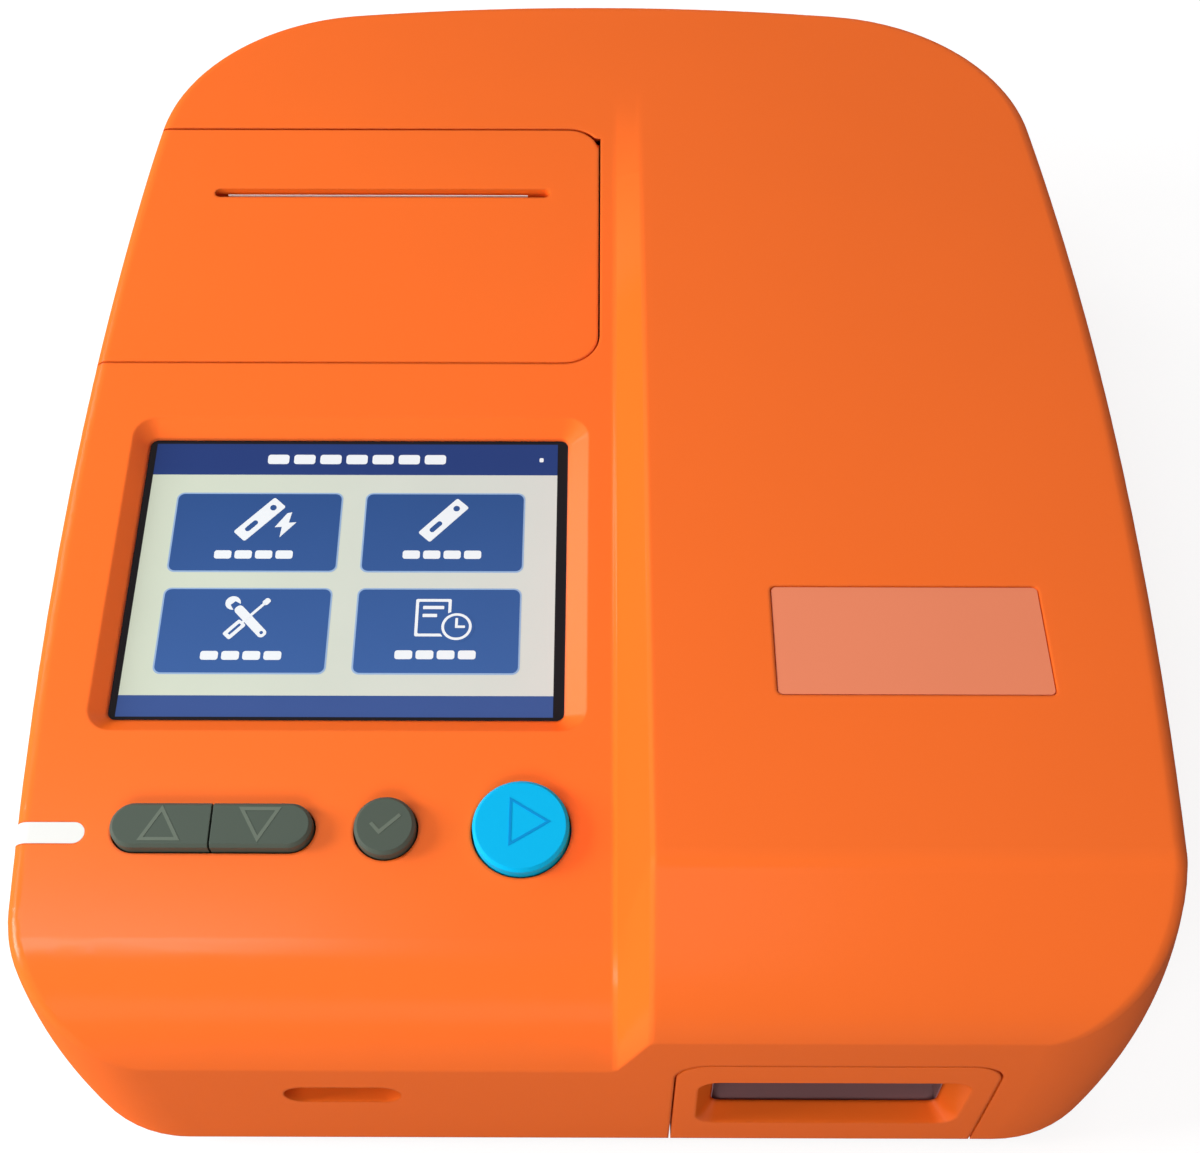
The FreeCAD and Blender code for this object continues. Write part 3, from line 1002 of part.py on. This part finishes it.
make_casing()
make_base()
make_display()
make_keys()
make_tub()
make_print_frame()
make_print_drive()
make_paper()
make_boards()
make_ports()
make_switch()
make_tray()
make_guide()
make_rack()
make_drawer_drive()
make_optics()

os.makedirs("parts", exist_ok=True)
for name, shape in sorted(PARTS.items()):
    shape.exportStep("parts/%s.step" % name)
print(len(PARTS), "parts")
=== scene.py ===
# Rapid test reader: finishes, the display's picture, symbols on the keys, floor, lamps and camera.

import json
import math

import bpy
from mathutils import Matrix, Vector


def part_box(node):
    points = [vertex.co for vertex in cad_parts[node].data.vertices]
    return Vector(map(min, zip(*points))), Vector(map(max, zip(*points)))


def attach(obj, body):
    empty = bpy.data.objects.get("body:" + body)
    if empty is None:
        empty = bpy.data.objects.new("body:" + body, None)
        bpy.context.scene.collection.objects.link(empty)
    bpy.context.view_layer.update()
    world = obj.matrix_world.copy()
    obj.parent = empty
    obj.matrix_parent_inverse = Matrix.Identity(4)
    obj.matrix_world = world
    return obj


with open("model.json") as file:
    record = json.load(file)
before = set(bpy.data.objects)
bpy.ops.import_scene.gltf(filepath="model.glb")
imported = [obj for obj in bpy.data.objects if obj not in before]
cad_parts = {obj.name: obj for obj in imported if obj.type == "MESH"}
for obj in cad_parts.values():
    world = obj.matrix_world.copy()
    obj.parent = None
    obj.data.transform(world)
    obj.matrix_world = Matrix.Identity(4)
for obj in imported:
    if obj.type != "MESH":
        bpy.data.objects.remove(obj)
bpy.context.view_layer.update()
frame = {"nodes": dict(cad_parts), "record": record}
NODES = frame["nodes"]

MM = 0.001
TILT = math.radians(7.0)            # slope of the display panel
CAMERA_AT = Vector((1.83, -203.1, 282.1)) * MM
CAMERA_TURN = (math.radians(36.76), 0.0, math.radians(0.18))
CAMERA_LENS = 51.3
SENSOR_WIDTH = 36.0


# ---------------------------------------------------------------- materials

ROUGH_SPREAD, ROUGH_MIN = 0.05, 0.02                    # roughness wanders this far either way
CLOUD_DETAIL, GRAIN_DETAIL = 4.0, 2.0
GRAIN_HEIGHT = 0.02                                     # mm
EDGE_SAMPLES = 4
MIX_SHARE, MIX_A, MIX_B, MIX_RESULT = 0, 6, 7, 2        # sockets of a Mix node that mixes colours
STRAIGHT_END = 10                                       # up to this screen value the sRGB curve is a line


def linear(value):
    """Linear strength of one 8-bit screen value."""
    share = value / 255.0
    return share / 12.92 if value <= STRAIGHT_END else ((share + 0.055) / 1.055) ** 2.4


def srgb(r, g, b):
    """Linear colour from 8-bit screen values."""
    return (linear(r), linear(g), linear(b), 1.0)


class Look:
    """A Principled material with mottled colour and roughness and a fine grain.

    vary is how far the colour wanders, mottle the size of its patches in mm, grain the strength of the fine
    bump and grain_mm its size. edge_mm softens sharp edges, and glow is the share of the colour that is given
    off as light. All else goes to the shader's socket of that name.
    """

    def __init__(self, name, colour, rough=0.5, vary=0.04, mottle=35.0, grain=0.1, grain_mm=0.6, edge_mm=0.0,
                 glow=0.0, **sockets):
        self.material = bpy.data.materials.new(name)
        self.material.use_nodes = True
        self.tree = self.material.node_tree
        self.shader = self.tree.nodes["Principled BSDF"]
        for key, value in sockets.items():
            self.shader.inputs[key.replace("_", " ")].default_value = value
        self.place = self.node("ShaderNodeTexCoord").outputs["Object"]
        self.cloud = self.noise(mottle, CLOUD_DETAIL)
        self.add_colour(colour, vary, glow)
        self.add_roughness(rough)
        self.add_relief(grain, grain_mm, edge_mm)

    def node(self, kind):
        return self.tree.nodes.new(kind)

    def link(self, a, b):
        self.tree.links.new(a, b)

    def noise(self, size, detail):
        """Noise with patches of this size in mm."""
        n = self.node("ShaderNodeTexNoise")
        n.inputs["Scale"].default_value = 1.0 / (size * MM)
        n.inputs["Detail"].default_value = detail
        self.link(self.place, n.inputs["Vector"])
        return n.outputs["Fac"]

    def blend(self, start, end, share):
        mix = self.node("ShaderNodeMix")
        mix.data_type = "RGBA"
        mix.inputs[MIX_A].default_value = start
        mix.inputs[MIX_B].default_value = end
        self.link(share, mix.inputs[MIX_SHARE])
        return mix.outputs[MIX_RESULT]

    def add_colour(self, colour, vary, glow):
        dark = tuple(c * (1 - vary) * (1 - glow) for c in colour[:3]) + (1.0,)
        light = tuple(min(1.0, c * (1 + vary)) * (1 - glow) for c in colour[:3]) + (1.0,)
        self.mottled = self.blend(dark, light, self.cloud)
        self.link(self.mottled, self.shader.inputs["Base Color"])
        if glow:
            self.link(self.mottled, self.shader.inputs["Emission Color"])
            self.shader.inputs["Emission Strength"].default_value = glow / (1 - glow)

    def add_roughness(self, rough):
        spread = self.node("ShaderNodeMapRange")
        spread.inputs["To Min"].default_value = max(ROUGH_MIN, rough - ROUGH_SPREAD)
        spread.inputs["To Max"].default_value = min(1.0, rough + ROUGH_SPREAD)
        self.link(self.cloud, spread.inputs["Value"])
        self.link(spread.outputs["Result"], self.shader.inputs["Roughness"])

    def add_relief(self, grain, grain_mm, edge_mm):
        bump = self.node("ShaderNodeBump")
        bump.inputs["Strength"].default_value = grain
        bump.inputs["Distance"].default_value = GRAIN_HEIGHT * MM
        self.link(self.noise(grain_mm, GRAIN_DETAIL), bump.inputs["Height"])
        self.link(bump.outputs["Normal"], self.shader.inputs["Normal"])
        if edge_mm:
            soft = self.node("ShaderNodeBevel")
            soft.samples = EDGE_SAMPLES
            soft.inputs["Radius"].default_value = edge_mm * MM
            self.link(soft.outputs["Normal"], bump.inputs["Normal"])

    def across(self, axis, start, end, tint_start, tint_end):
        """Adds a tint that changes slowly along one axis of the scene, from start to end in mm."""
        split = self.node("ShaderNodeSeparateXYZ")
        self.link(self.place, split.inputs["Vector"])
        ramp = self.node("ShaderNodeMapRange")
        ramp.inputs["From Min"].default_value = start * MM
        ramp.inputs["From Max"].default_value = end * MM
        self.link(split.outputs[axis], ramp.inputs["Value"])
        tinted = self.node("ShaderNodeMix")
        tinted.data_type = "RGBA"
        tinted.blend_type = "MULTIPLY"
        tinted.inputs[MIX_SHARE].default_value = 1.0
        self.link(self.mottled, tinted.inputs[MIX_A])
        self.link(self.blend(tint_start, tint_end, ramp.outputs["Result"]), tinted.inputs[MIX_B])
        for socket in ("Base Color", "Emission Color"):
            self.link(tinted.outputs[MIX_RESULT], self.shader.inputs[socket])
        return self


def plastic(name, colour, rough, **more):
    more.setdefault("grain", 0.25)
    more.setdefault("Specular_IOR_Level", 0.1)
    return Look(name, colour, rough, **more)


def metal(name, colour, rough, **more):
    return Look(name, colour, rough, Metallic=1.0, **more)


def lit(name, colour):
    """A colour on the display, which gives off part of its light."""
    return Look(name, colour, 0.22, vary=0.03, mottle=12.0, grain=0.02, glow=0.55, Specular_IOR_Level=0.08)


# one finish for each material slot
LOOKS = {
    # no base gloss and a thin coat, so that lamps show as highlights and the pale floor adds little
    "orange_shell": plastic("orange_shell", srgb(249, 110, 36), 0.5, vary=0.02, grain_mm=0.5, edge_mm=0.8,
                            Specular_IOR_Level=0.0, Coat_Weight=0.045, Coat_IOR=4.0, Coat_Roughness=0.22),
    "label_blank": plastic("label_salmon", srgb(236, 136, 100), 0.5, vary=0.02, mottle=20.0, grain=0.1),
    "key_grey": plastic("key_grey", srgb(76, 86, 77), 0.5, vary=0.05, grain_mm=0.4, edge_mm=0.2),
    "key_blue": plastic("key_blue", srgb(0, 178, 232), 0.6, vary=0.03, grain_mm=0.4, edge_mm=0.2),
    "white_diffuser": Look("white_diffuser", srgb(226, 226, 222), 0.35, vary=0.01, grain=0.05, glow=0.3),
    "black_plastic": plastic("black_plastic", srgb(38, 38, 40), 0.5, vary=0.08),
    "switch_body": plastic("switch_body", srgb(42, 42, 44), 0.5, vary=0.06),
    "rocker_black": plastic("rocker_black", srgb(30, 30, 32), 0.35, vary=0.06, edge_mm=0.2),
    # grey plastic with a pink tint: the tint is painted orange bounce light from the shell
    "grey_plastic": plastic("grey_plastic", srgb(142, 106, 108), 0.5, vary=0.06),
    "acetal": Look("acetal", srgb(232, 230, 222), 0.35, vary=0.02),
    "screen_frame": Look("display_border", srgb(24, 20, 24), 0.2, vary=0.05, grain=0.02,
                         Specular_IOR_Level=0.1),
    "screen": lit("screen_field", srgb(214, 217, 209)).across(
        "X", -76.0, -6.0, (0.94, 1.0, 0.88, 1.0), (0.98, 0.97, 1.0, 1.0)),
    "paper": Look("paper", srgb(246, 246, 242), 0.7, vary=0.02, grain=0.4, grain_mm=0.2),
    "board_green": Look("board_green", srgb(28, 92, 52), 0.35, vary=0.1),
    "steel": metal("steel", srgb(176, 177, 180), 0.32, vary=0.06),
    "brass": metal("brass", srgb(200, 164, 88), 0.3, vary=0.05),
    "rubber": Look("rubber", srgb(36, 36, 37), 0.75, vary=0.1, grain=0.5),
    "black_anodised": Look("black_anodised", srgb(44, 44, 48), 0.42, vary=0.08, Metallic=0.8),
    "lens_glass": Look("lens_glass", srgb(210, 228, 236), 0.07, vary=0.01, grain=0.0,
                       Transmission_Weight=0.9, IOR=1.5),
    "ceramic": Look("ceramic", srgb(205, 200, 190), 0.3, vary=0.03),
    "battery_wrap": Look("battery_wrap", srgb(42, 84, 150), 0.3, vary=0.05),
}

# finishes of the drawn marks
BAND = lit("screen_band", srgb(40, 62, 122)).across(
    "Y", -60.0, -10.0, (2.3, 2.0, 1.5, 1.0), (0.95, 0.95, 0.95, 1.0))
TILE = lit("screen_tile", srgb(47, 81, 140)).across(
    "Y", -56.0, -12.0, (1.7, 1.5, 1.35, 1.0), (0.95, 0.95, 0.95, 1.0))
EDGE = lit("screen_tile_edge", srgb(150, 178, 214))
MARK = lit("screen_mark", srgb(236, 240, 244))
GREY_LINE = plastic("key_line_grey", srgb(100, 110, 98), 0.55, vary=0.03)
BLUE_LINE = plastic("key_line_blue", srgb(0, 140, 206), 0.5, vary=0.03)
# dark cross plates on the screw heads: painted shade in place of cross recesses
RECESS_SHADE = Look("screw_recess", srgb(60, 60, 62), 0.4, vary=0.05, Metallic=0.9)


def dress_nodes():
    """Gives every carried node the finish of its material slot."""
    for part in frame["record"]["subparts"]:
        materials = NODES[part["node"]].data.materials
        materials.clear()
        materials.append(LOOKS[part["material_slot"]].material)


# ---------------------------------------------------------------- drawing in a plane

FACE_DEPTH = 0.01       # points this close to the uppermost one belong to the same face, mm


def top_of(node):
    """Matrix from mm in the plane of a node's uppermost sloped face to the scene, from the face's middle."""
    obj = NODES[node]
    turn = Matrix.Rotation(TILT, 3, "X")
    points = [turn.inverted() @ (obj.matrix_world @ v.co) for v in obj.data.vertices]
    high = max(p.z for p in points)
    face = [p for p in points if p.z > high - FACE_DEPTH * MM]
    middle = Vector((sum((min(p[i] for p in face), max(p[i] for p in face))) / 2 for i in range(3)))
    return Matrix.Translation(turn @ middle) @ turn.to_4x4() @ Matrix.Scale(MM, 4)


class Flat:
    """Collects thin closed plates drawn in one plane, in mm. A layer is a plate's underside and top."""

    def __init__(self):
        self.verts, self.faces = [], []

    def outline(self, pts, layer):
        n, k = len(pts), len(self.verts)
        for z in layer:
            self.verts += [(x, y, z) for x, y in pts]
        self.faces += [tuple(k + i for i in reversed(range(n))), tuple(k + n + i for i in range(n))]
        self.faces += [(k + i, k + (i + 1) % n, k + n + (i + 1) % n, k + n + i) for i in range(n)]

    def ring(self, outer, inner, layer):
        """A plate with a hole. Both outlines have the same number of points."""
        n, k = len(outer), len(self.verts)
        for pts in (outer, inner):
            for z in layer:
                self.verts += [(x, y, z) for x, y in pts]
        for i in range(n):
            j = (i + 1) % n
            a, b, c, d = (k + m * n + i for m in range(4))
            e, f, g, h = (k + m * n + j for m in range(4))
            self.faces += [(a, e, f, b), (b, f, h, d), (d, h, g, c), (c, g, e, a)]

    def make(self, name, look, place, body="housing", slot=None):
        me = bpy.data.meshes.new(name)
        me.from_pydata([place @ Vector(v) for v in self.verts], [], self.faces)
        me.update()
        obj = bpy.data.objects.new(name, me)
        bpy.context.scene.collection.objects.link(obj)
        me.materials.append(look.material)
        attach(obj, body)


def rounded_rect(x0, x1, y0, y1, r, steps=6):
    pts = []
    corners = [(x1 - r, y1 - r, 0), (x0 + r, y1 - r, 90), (x0 + r, y0 + r, 180), (x1 - r, y0 + r, 270)]
    for cx, cy, start in corners:
        for i in range(steps + 1):
            a = math.radians(start + 90 * i / steps)
            pts.append((cx + r * math.cos(a), cy + r * math.sin(a)))
    return pts


def bar(x0, x1, width, r):
    """Rounded bar along the X axis."""
    return rounded_rect(x0, x1, -width / 2, width / 2, r)


def circle(cx, cy, r, n=40):
    turns = [2 * math.pi * i / n for i in range(n)]
    return [(cx + r * math.cos(a), cy + r * math.sin(a)) for a in turns]


def turned(pts, cx, cy, deg, size=1.0):
    """Points turned and scaled about the origin, then moved."""
    c, s = size * math.cos(math.radians(deg)), size * math.sin(math.radians(deg))
    return [(cx + x * c - y * s, cy + x * s + y * c) for x, y in pts]


def triangle(base, height, deg, grow):
    """Isosceles triangle about the middle of its height, its sides moved out by grow. It points up at 0."""
    half = math.atan2(base / 2, height)
    up = grow / math.sin(half)
    foot = base / 2 + (up + grow) * math.tan(half)
    low = -height / 2 - grow
    return turned([(-foot, low), (foot, low), (0, height / 2 + up)], 0, 0, deg)


# ---------------------------------------------------------------- display, in mm from its middle

HALF_U, HALF_V = 35.04, 26.28
HEAD_BAND, FOOT_BAND = 19.9, -22.5          # lower edge of one, upper edge of the other
TILES = [(-30.0, -1.95, 0.7, 15.9), (2.45, 29.35, 0.7, 15.9),
         (-29.9, -2.3, -18.4, -2.9), (2.4, 29.2, -18.4, -2.9)]
TILE_R, TILE_EDGE, TILE_EDGE_R = 1.1, 0.28, 1.3

# layers, mm above the lit face
GROUND = (0.0, 0.04)
ON_GROUND = (0.04, 0.12)
TILE_PLATE = (0.0, 0.08)
ON_TILE = (0.08, 0.12)
ON_MARK = (0.12, 0.14)
ON_CUT = (0.14, 0.16)
DRIVER = (0.13, 0.15)
ON_DRIVER = (0.15, 0.17)

# rows of bars: count, step, width, height, corner radius
TITLE_AT, TITLE = (-15.4, 22.1), (7, 4.55, 3.7, 1.9, 0.5)
CAPTIONS_AT, CAPTION = [(-22.6, 3.0), (9.2, 3.05), (-22.7, -16.1), (9.0, -15.9)], (4, 3.45, 2.9, 1.6, 0.45)
DOT = (31.9, 32.6, 22.6, 23.4, 0.2)

# test card: centres, turn, bar outlines from its middle
CARDS = [(-15.6, 10.8), (15.8, 10.7)]
CARD_TURN = 47
CARD, CARD_WINDOW = (-4.7, 4.7, 2.8, 0.35), (-1.7, 0.9, 0.9, 0.4)
WINDOW_OFF, WELL_OFF = (-1.0, -1.05), (2.1, 2.3)
WELL_R, WELL_POINTS = 0.56, 20
BOLT = [(-11.0, 12.0), (-12.9, 9.2), (-11.7, 9.3), (-11.9, 7.2), (-9.3, 10.2), (-10.6, 10.1), (-10.2, 12.2)]

# spanner and screwdriver
TOOLS_AT, TOOL_SIZE = (-15.7, -8.4), 0.85
SPANNER_TURN, DRIVER_TURN = 133, 47
SPANNER = (-5.3, 3.4, 1.9, 0.8)
JAW_X, JAW_R, JAW_GAP = 4.6, 1.5, 1.24
JAW_ARC = range(35, 326, 15)                # degrees
HANG_HOLE_OFF, HANG_HOLE_R, HANG_HOLE_POINTS = (2.55, -2.7), 0.3, 16
DRIVER_BARS = [(-5.6, -1.2, 2.0, 0.4), (-1.2, 4.6, 0.56, 0.1), (4.2, 5.8, 1.2, 0.5)]
GRIP_SLOT = (-4.8, -1.8, 0.5, 0.1)

# page with two lines and a clock
PAGE, PAGE_R, PAGE_LINE, PAGE_INNER_R = (12.0, 17.9, -11.7, -4.7), 0.3, 0.5, 0.2
TEXT_X, TEXT_LINES, TEXT_H, TEXT_R = 13.2, [(16.7, -6.6), (15.6, -8.1)], 0.6, 0.1
CLOCK_AT, CLOCK_GROUND, CLOCK_OUT, CLOCK_IN = (18.9, -9.9), 2.9, 2.5, 2.05
HANDS, HAND_R = [(18.65, 19.1, -10.1, -8.3), (18.65, 20.3, -10.15, -9.7)], 0.1


def bars(flat, layer, at, row):
    """A row of bars in place of words."""
    count, step, width, height, r = row
    for i in range(count):
        x = at[0] + step * i
        flat.outline(rounded_rect(x, x + width, at[1], at[1] + height, r), layer)


def draw_card(mark, cut, cx, cy):
    """Test card with a well and a reading window."""
    mark.outline(turned(bar(*CARD), cx, cy, CARD_TURN), ON_TILE)
    well = circle(0, 0, WELL_R, WELL_POINTS)
    cut.outline(turned(well, cx + WELL_OFF[0], cy + WELL_OFF[1], CARD_TURN), ON_MARK)
    cut.outline(turned(bar(*CARD_WINDOW), cx + WINDOW_OFF[0], cy + WINDOW_OFF[1], CARD_TURN), ON_MARK)


def draw_tools(mark, cut):
    """Spanner and screwdriver crossed."""
    cx, cy = TOOLS_AT
    jaw = [(JAW_R * math.cos(math.radians(a)) - JAW_X, JAW_R * math.sin(math.radians(a))) for a in JAW_ARC]
    jaw += [(-JAW_X, -JAW_GAP / 2), (-JAW_X, JAW_GAP / 2)]
    other_way = [(-x, y) for x, y in reversed(jaw)]
    mark.outline(turned(other_way, cx, cy, SPANNER_TURN, TOOL_SIZE), ON_TILE)
    mark.outline(turned(bar(*SPANNER), cx, cy, SPANNER_TURN, TOOL_SIZE), ON_TILE)
    for piece in DRIVER_BARS:
        mark.outline(turned(bar(*piece), cx, cy, DRIVER_TURN, TOOL_SIZE), DRIVER)
    cut.outline(turned(bar(*GRIP_SLOT), cx, cy, DRIVER_TURN, TOOL_SIZE), ON_DRIVER)
    hole_x, hole_y = cx + HANG_HOLE_OFF[0], cy + HANG_HOLE_OFF[1]
    cut.outline(circle(hole_x, hole_y, HANG_HOLE_R, HANG_HOLE_POINTS), ON_MARK)


def draw_document(mark, cut):
    """Page with two lines and a clock beside it."""
    x0, x1, y0, y1 = PAGE
    inner = rounded_rect(x0 + PAGE_LINE, x1 - PAGE_LINE, y0 + PAGE_LINE, y1 - PAGE_LINE, PAGE_INNER_R)
    mark.ring(rounded_rect(*PAGE, PAGE_R), inner, ON_TILE)
    for end, y in TEXT_LINES:
        mark.outline(rounded_rect(TEXT_X, end, y, y + TEXT_H, TEXT_R), ON_TILE)
    cut.outline(circle(*CLOCK_AT, CLOCK_GROUND), ON_MARK)
    mark.ring(circle(*CLOCK_AT, CLOCK_OUT), circle(*CLOCK_AT, CLOCK_IN), ON_CUT)
    for hand in HANDS:
        mark.outline(rounded_rect(*hand, HAND_R), ON_CUT)


def make_display():
    place = top_of("lcd_active")
    band = Flat()
    for low, high in ((HEAD_BAND, HALF_V), (-HALF_V, FOOT_BAND)):
        band.outline([(-HALF_U, low), (HALF_U, low), (HALF_U, high), (-HALF_U, high)], GROUND)
    band.make("screen_bands", BAND, place, slot="screen")

    halo, tile = Flat(), Flat()
    for x0, x1, y0, y1 in TILES:
        around = (x0 - TILE_EDGE, x1 + TILE_EDGE, y0 - TILE_EDGE, y1 + TILE_EDGE)
        halo.outline(rounded_rect(*around, TILE_EDGE_R), GROUND)
        tile.outline(rounded_rect(x0, x1, y0, y1, TILE_R), TILE_PLATE)
    halo.make("screen_tile_edges", EDGE, place, slot="screen")
    tile.make("screen_tiles", TILE, place, slot="screen")

    mark, cut = Flat(), Flat()
    bars(mark, ON_GROUND, TITLE_AT, TITLE)
    for at in CAPTIONS_AT:
        bars(mark, ON_TILE, at, CAPTION)
    mark.outline(rounded_rect(*DOT), ON_GROUND)
    for at in CARDS:
        draw_card(mark, cut, *at)
    mark.outline(BOLT, ON_TILE)
    draw_tools(mark, cut)
    draw_document(mark, cut)
    mark.make("screen_marks", MARK, place, slot="screen")
    cut.make("screen_mark_cuts", TILE, place, slot="screen")


# ---------------------------------------------------------------- symbols on keys, painted shade of cross recesses on screws, in mm

RAISED, SUNK = (0.0, 0.05), (-0.05, 0.0)
KEY_TRIANGLES = [
    # key, body, finish, base, height, turn, offset from the key's middle, half width of the line
    ("key_up", "up_key", GREY_LINE, 5.6, 4.9, 0, (-0.1, 0.1, 0.0), 0.27),
    ("key_down", "down_key", GREY_LINE, 5.6, 4.9, 180, (-0.2, 0.1, 0.0), 0.27),
    ("key_start", "start_key", BLUE_LINE, 7.2, 5.8, -90, (1.3, 0.6, 0.0), 0.2),
]
TICK = [(-2.3, 0.15), (-0.75, -1.55), (2.5, 1.45), (2.1, 1.85), (-0.75, -0.75), (-1.9, 0.5)]
CROSS_ARM, CROSS_HALF = 2.0, 0.4            # reach and half width of the arms


def make_key_symbols():
    for key, body, look, base, height, deg, offset, half in KEY_TRIANGLES:
        flat = Flat()
        flat.ring(triangle(base, height, deg, half), triangle(base, height, deg, -half), RAISED)
        flat.make(key + "_symbol", look, top_of(key) @ Matrix.Translation(offset), body)
    tick = Flat()
    tick.outline(TICK, RAISED)
    tick.make("key_ok_symbol", GREY_LINE, top_of("key_ok"), "ok_key")


def make_screw_recess_shades():
    """Dark cross plate under each case screw, painted shade in place of a cross recess."""
    for part in frame["record"]["subparts"]:
        node = part["node"]
        if node.startswith("case_screw"):
            lo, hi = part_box(node)
            place = Matrix.Translation(((lo.x + hi.x) / 2, (lo.y + hi.y) / 2, lo.z)) @ Matrix.Scale(MM, 4)
            pts = []
            for deg in (0, 90, 180, 270):
                pts += turned([(CROSS_HALF, -CROSS_ARM), (CROSS_HALF, -CROSS_HALF)], 0, 0, deg)
            cross = Flat()
            cross.outline(pts, SUNK)
            cross.make(node + "_recess", RECESS_SHADE, place)


# ---------------------------------------------------------------- stage, in metres

FLOOR_SIZE, FLOOR_Z = 12, -0.0004
FLOOR_GREY = 0.3                            # carries the lamps' light and the object's shadow
FLOOR_GLOW = 0.82                           # added where the floor is seen, which makes it white
WORLD_LIGHT = 0.10                          # on the object, against 1 where the world is seen
LAMPS = [
    # name, place, aim, size, power, seen in reflections
    ("key_light", (-0.27, -0.05, 0.60), (-0.03, -0.06, 0.05), (0.12, 0.30), 1.0, True),
    ("front_light", (-0.14, -0.58, 0.34), (-0.03, -0.08, 0.04), (0.50, 0.20), 2.25, False),
    ("left_light", (-0.68, -0.10, 0.31), (0.0, -0.05, 0.05), (0.26, 0.26), 4.6, True),
    ("top_light", (0.05, 0.10, 1.10), (0.0, 0.0, 0.05), (0.9, 0.9), 0.5, False),
    ("rear_light", (0.30, 0.80, 0.24), (0.0, 0.0, 0.04), (0.60, 0.30), 2.6, False),
    ("rim_light", (-0.56, 0.26, 0.31), (0.0, -0.05, 0.06), (0.22, 0.22), 0.8, True),
]


def seen_rays(tree):
    """One for camera, glossy and transmission rays, else nought."""
    path = tree.nodes.new("ShaderNodeLightPath")
    last = path.outputs["Is Camera Ray"]
    for name in ("Is Glossy Ray", "Is Transmission Ray"):
        either = tree.nodes.new("ShaderNodeMath")
        either.operation = "MAXIMUM"
        tree.links.new(last, either.inputs[0])
        tree.links.new(path.outputs[name], either.inputs[1])
        last = either.outputs[0]
    return last


def make_floor():
    bpy.ops.mesh.primitive_plane_add(size=FLOOR_SIZE, location=(0, 0, FLOOR_Z))
    floor = bpy.context.object
    floor.name = "floor"
    material = bpy.data.materials.new("floor_white")
    material.use_nodes = True
    tree = material.node_tree
    shader = tree.nodes["Principled BSDF"]
    shader.inputs["Base Color"].default_value = (FLOOR_GREY, FLOOR_GREY, FLOOR_GREY, 1)
    shader.inputs["Roughness"].default_value = 1.0
    shader.inputs["Specular IOR Level"].default_value = 0.0
    shader.inputs["Emission Color"].default_value = (1, 1, 1, 1)
    glow = tree.nodes.new("ShaderNodeMath")
    glow.operation = "MULTIPLY"
    glow.inputs[1].default_value = FLOOR_GLOW
    tree.links.new(seen_rays(tree), glow.inputs[0])
    tree.links.new(glow.outputs[0], shader.inputs["Emission Strength"])
    floor.data.materials.append(material)


def make_world():
    world = bpy.data.worlds.new("studio")
    bpy.context.scene.world = world
    world.use_nodes = True
    tree = world.node_tree
    background = tree.nodes["Background"]
    background.inputs["Color"].default_value = (1, 1, 1, 1)
    level = tree.nodes.new("ShaderNodeMapRange")
    level.inputs["To Min"].default_value = WORLD_LIGHT
    level.inputs["To Max"].default_value = 1.0
    tree.links.new(seen_rays(tree), level.inputs["Value"])
    tree.links.new(level.outputs["Result"], background.inputs["Strength"])


def make_lamps():
    for name, place, aim, size, power, reflected in LAMPS:
        lamp = bpy.data.lights.new(name, "AREA")
        lamp.shape = "RECTANGLE"
        lamp.size, lamp.size_y = size
        lamp.energy = power
        obj = bpy.data.objects.new(name, lamp)
        bpy.context.scene.collection.objects.link(obj)
        obj.visible_glossy = reflected
        obj.location = place
        obj.rotation_euler = (Vector(aim) - Vector(place)).to_track_quat("-Z", "Y").to_euler()


def make_camera():
    camera = bpy.data.cameras.new("camera")
    camera.sensor_fit = "HORIZONTAL"
    camera.sensor_width = SENSOR_WIDTH
    camera.lens = CAMERA_LENS
    obj = bpy.data.objects.new("camera", camera)
    bpy.context.scene.collection.objects.link(obj)
    obj.location = CAMERA_AT
    obj.rotation_euler = CAMERA_TURN
    bpy.context.scene.camera = obj
    bpy.context.scene.view_settings.view_transform = "Standard"


dress_nodes()
make_display()
make_key_symbols()
make_screw_recess_shades()
make_floor()
make_world()
make_lamps()
make_camera()
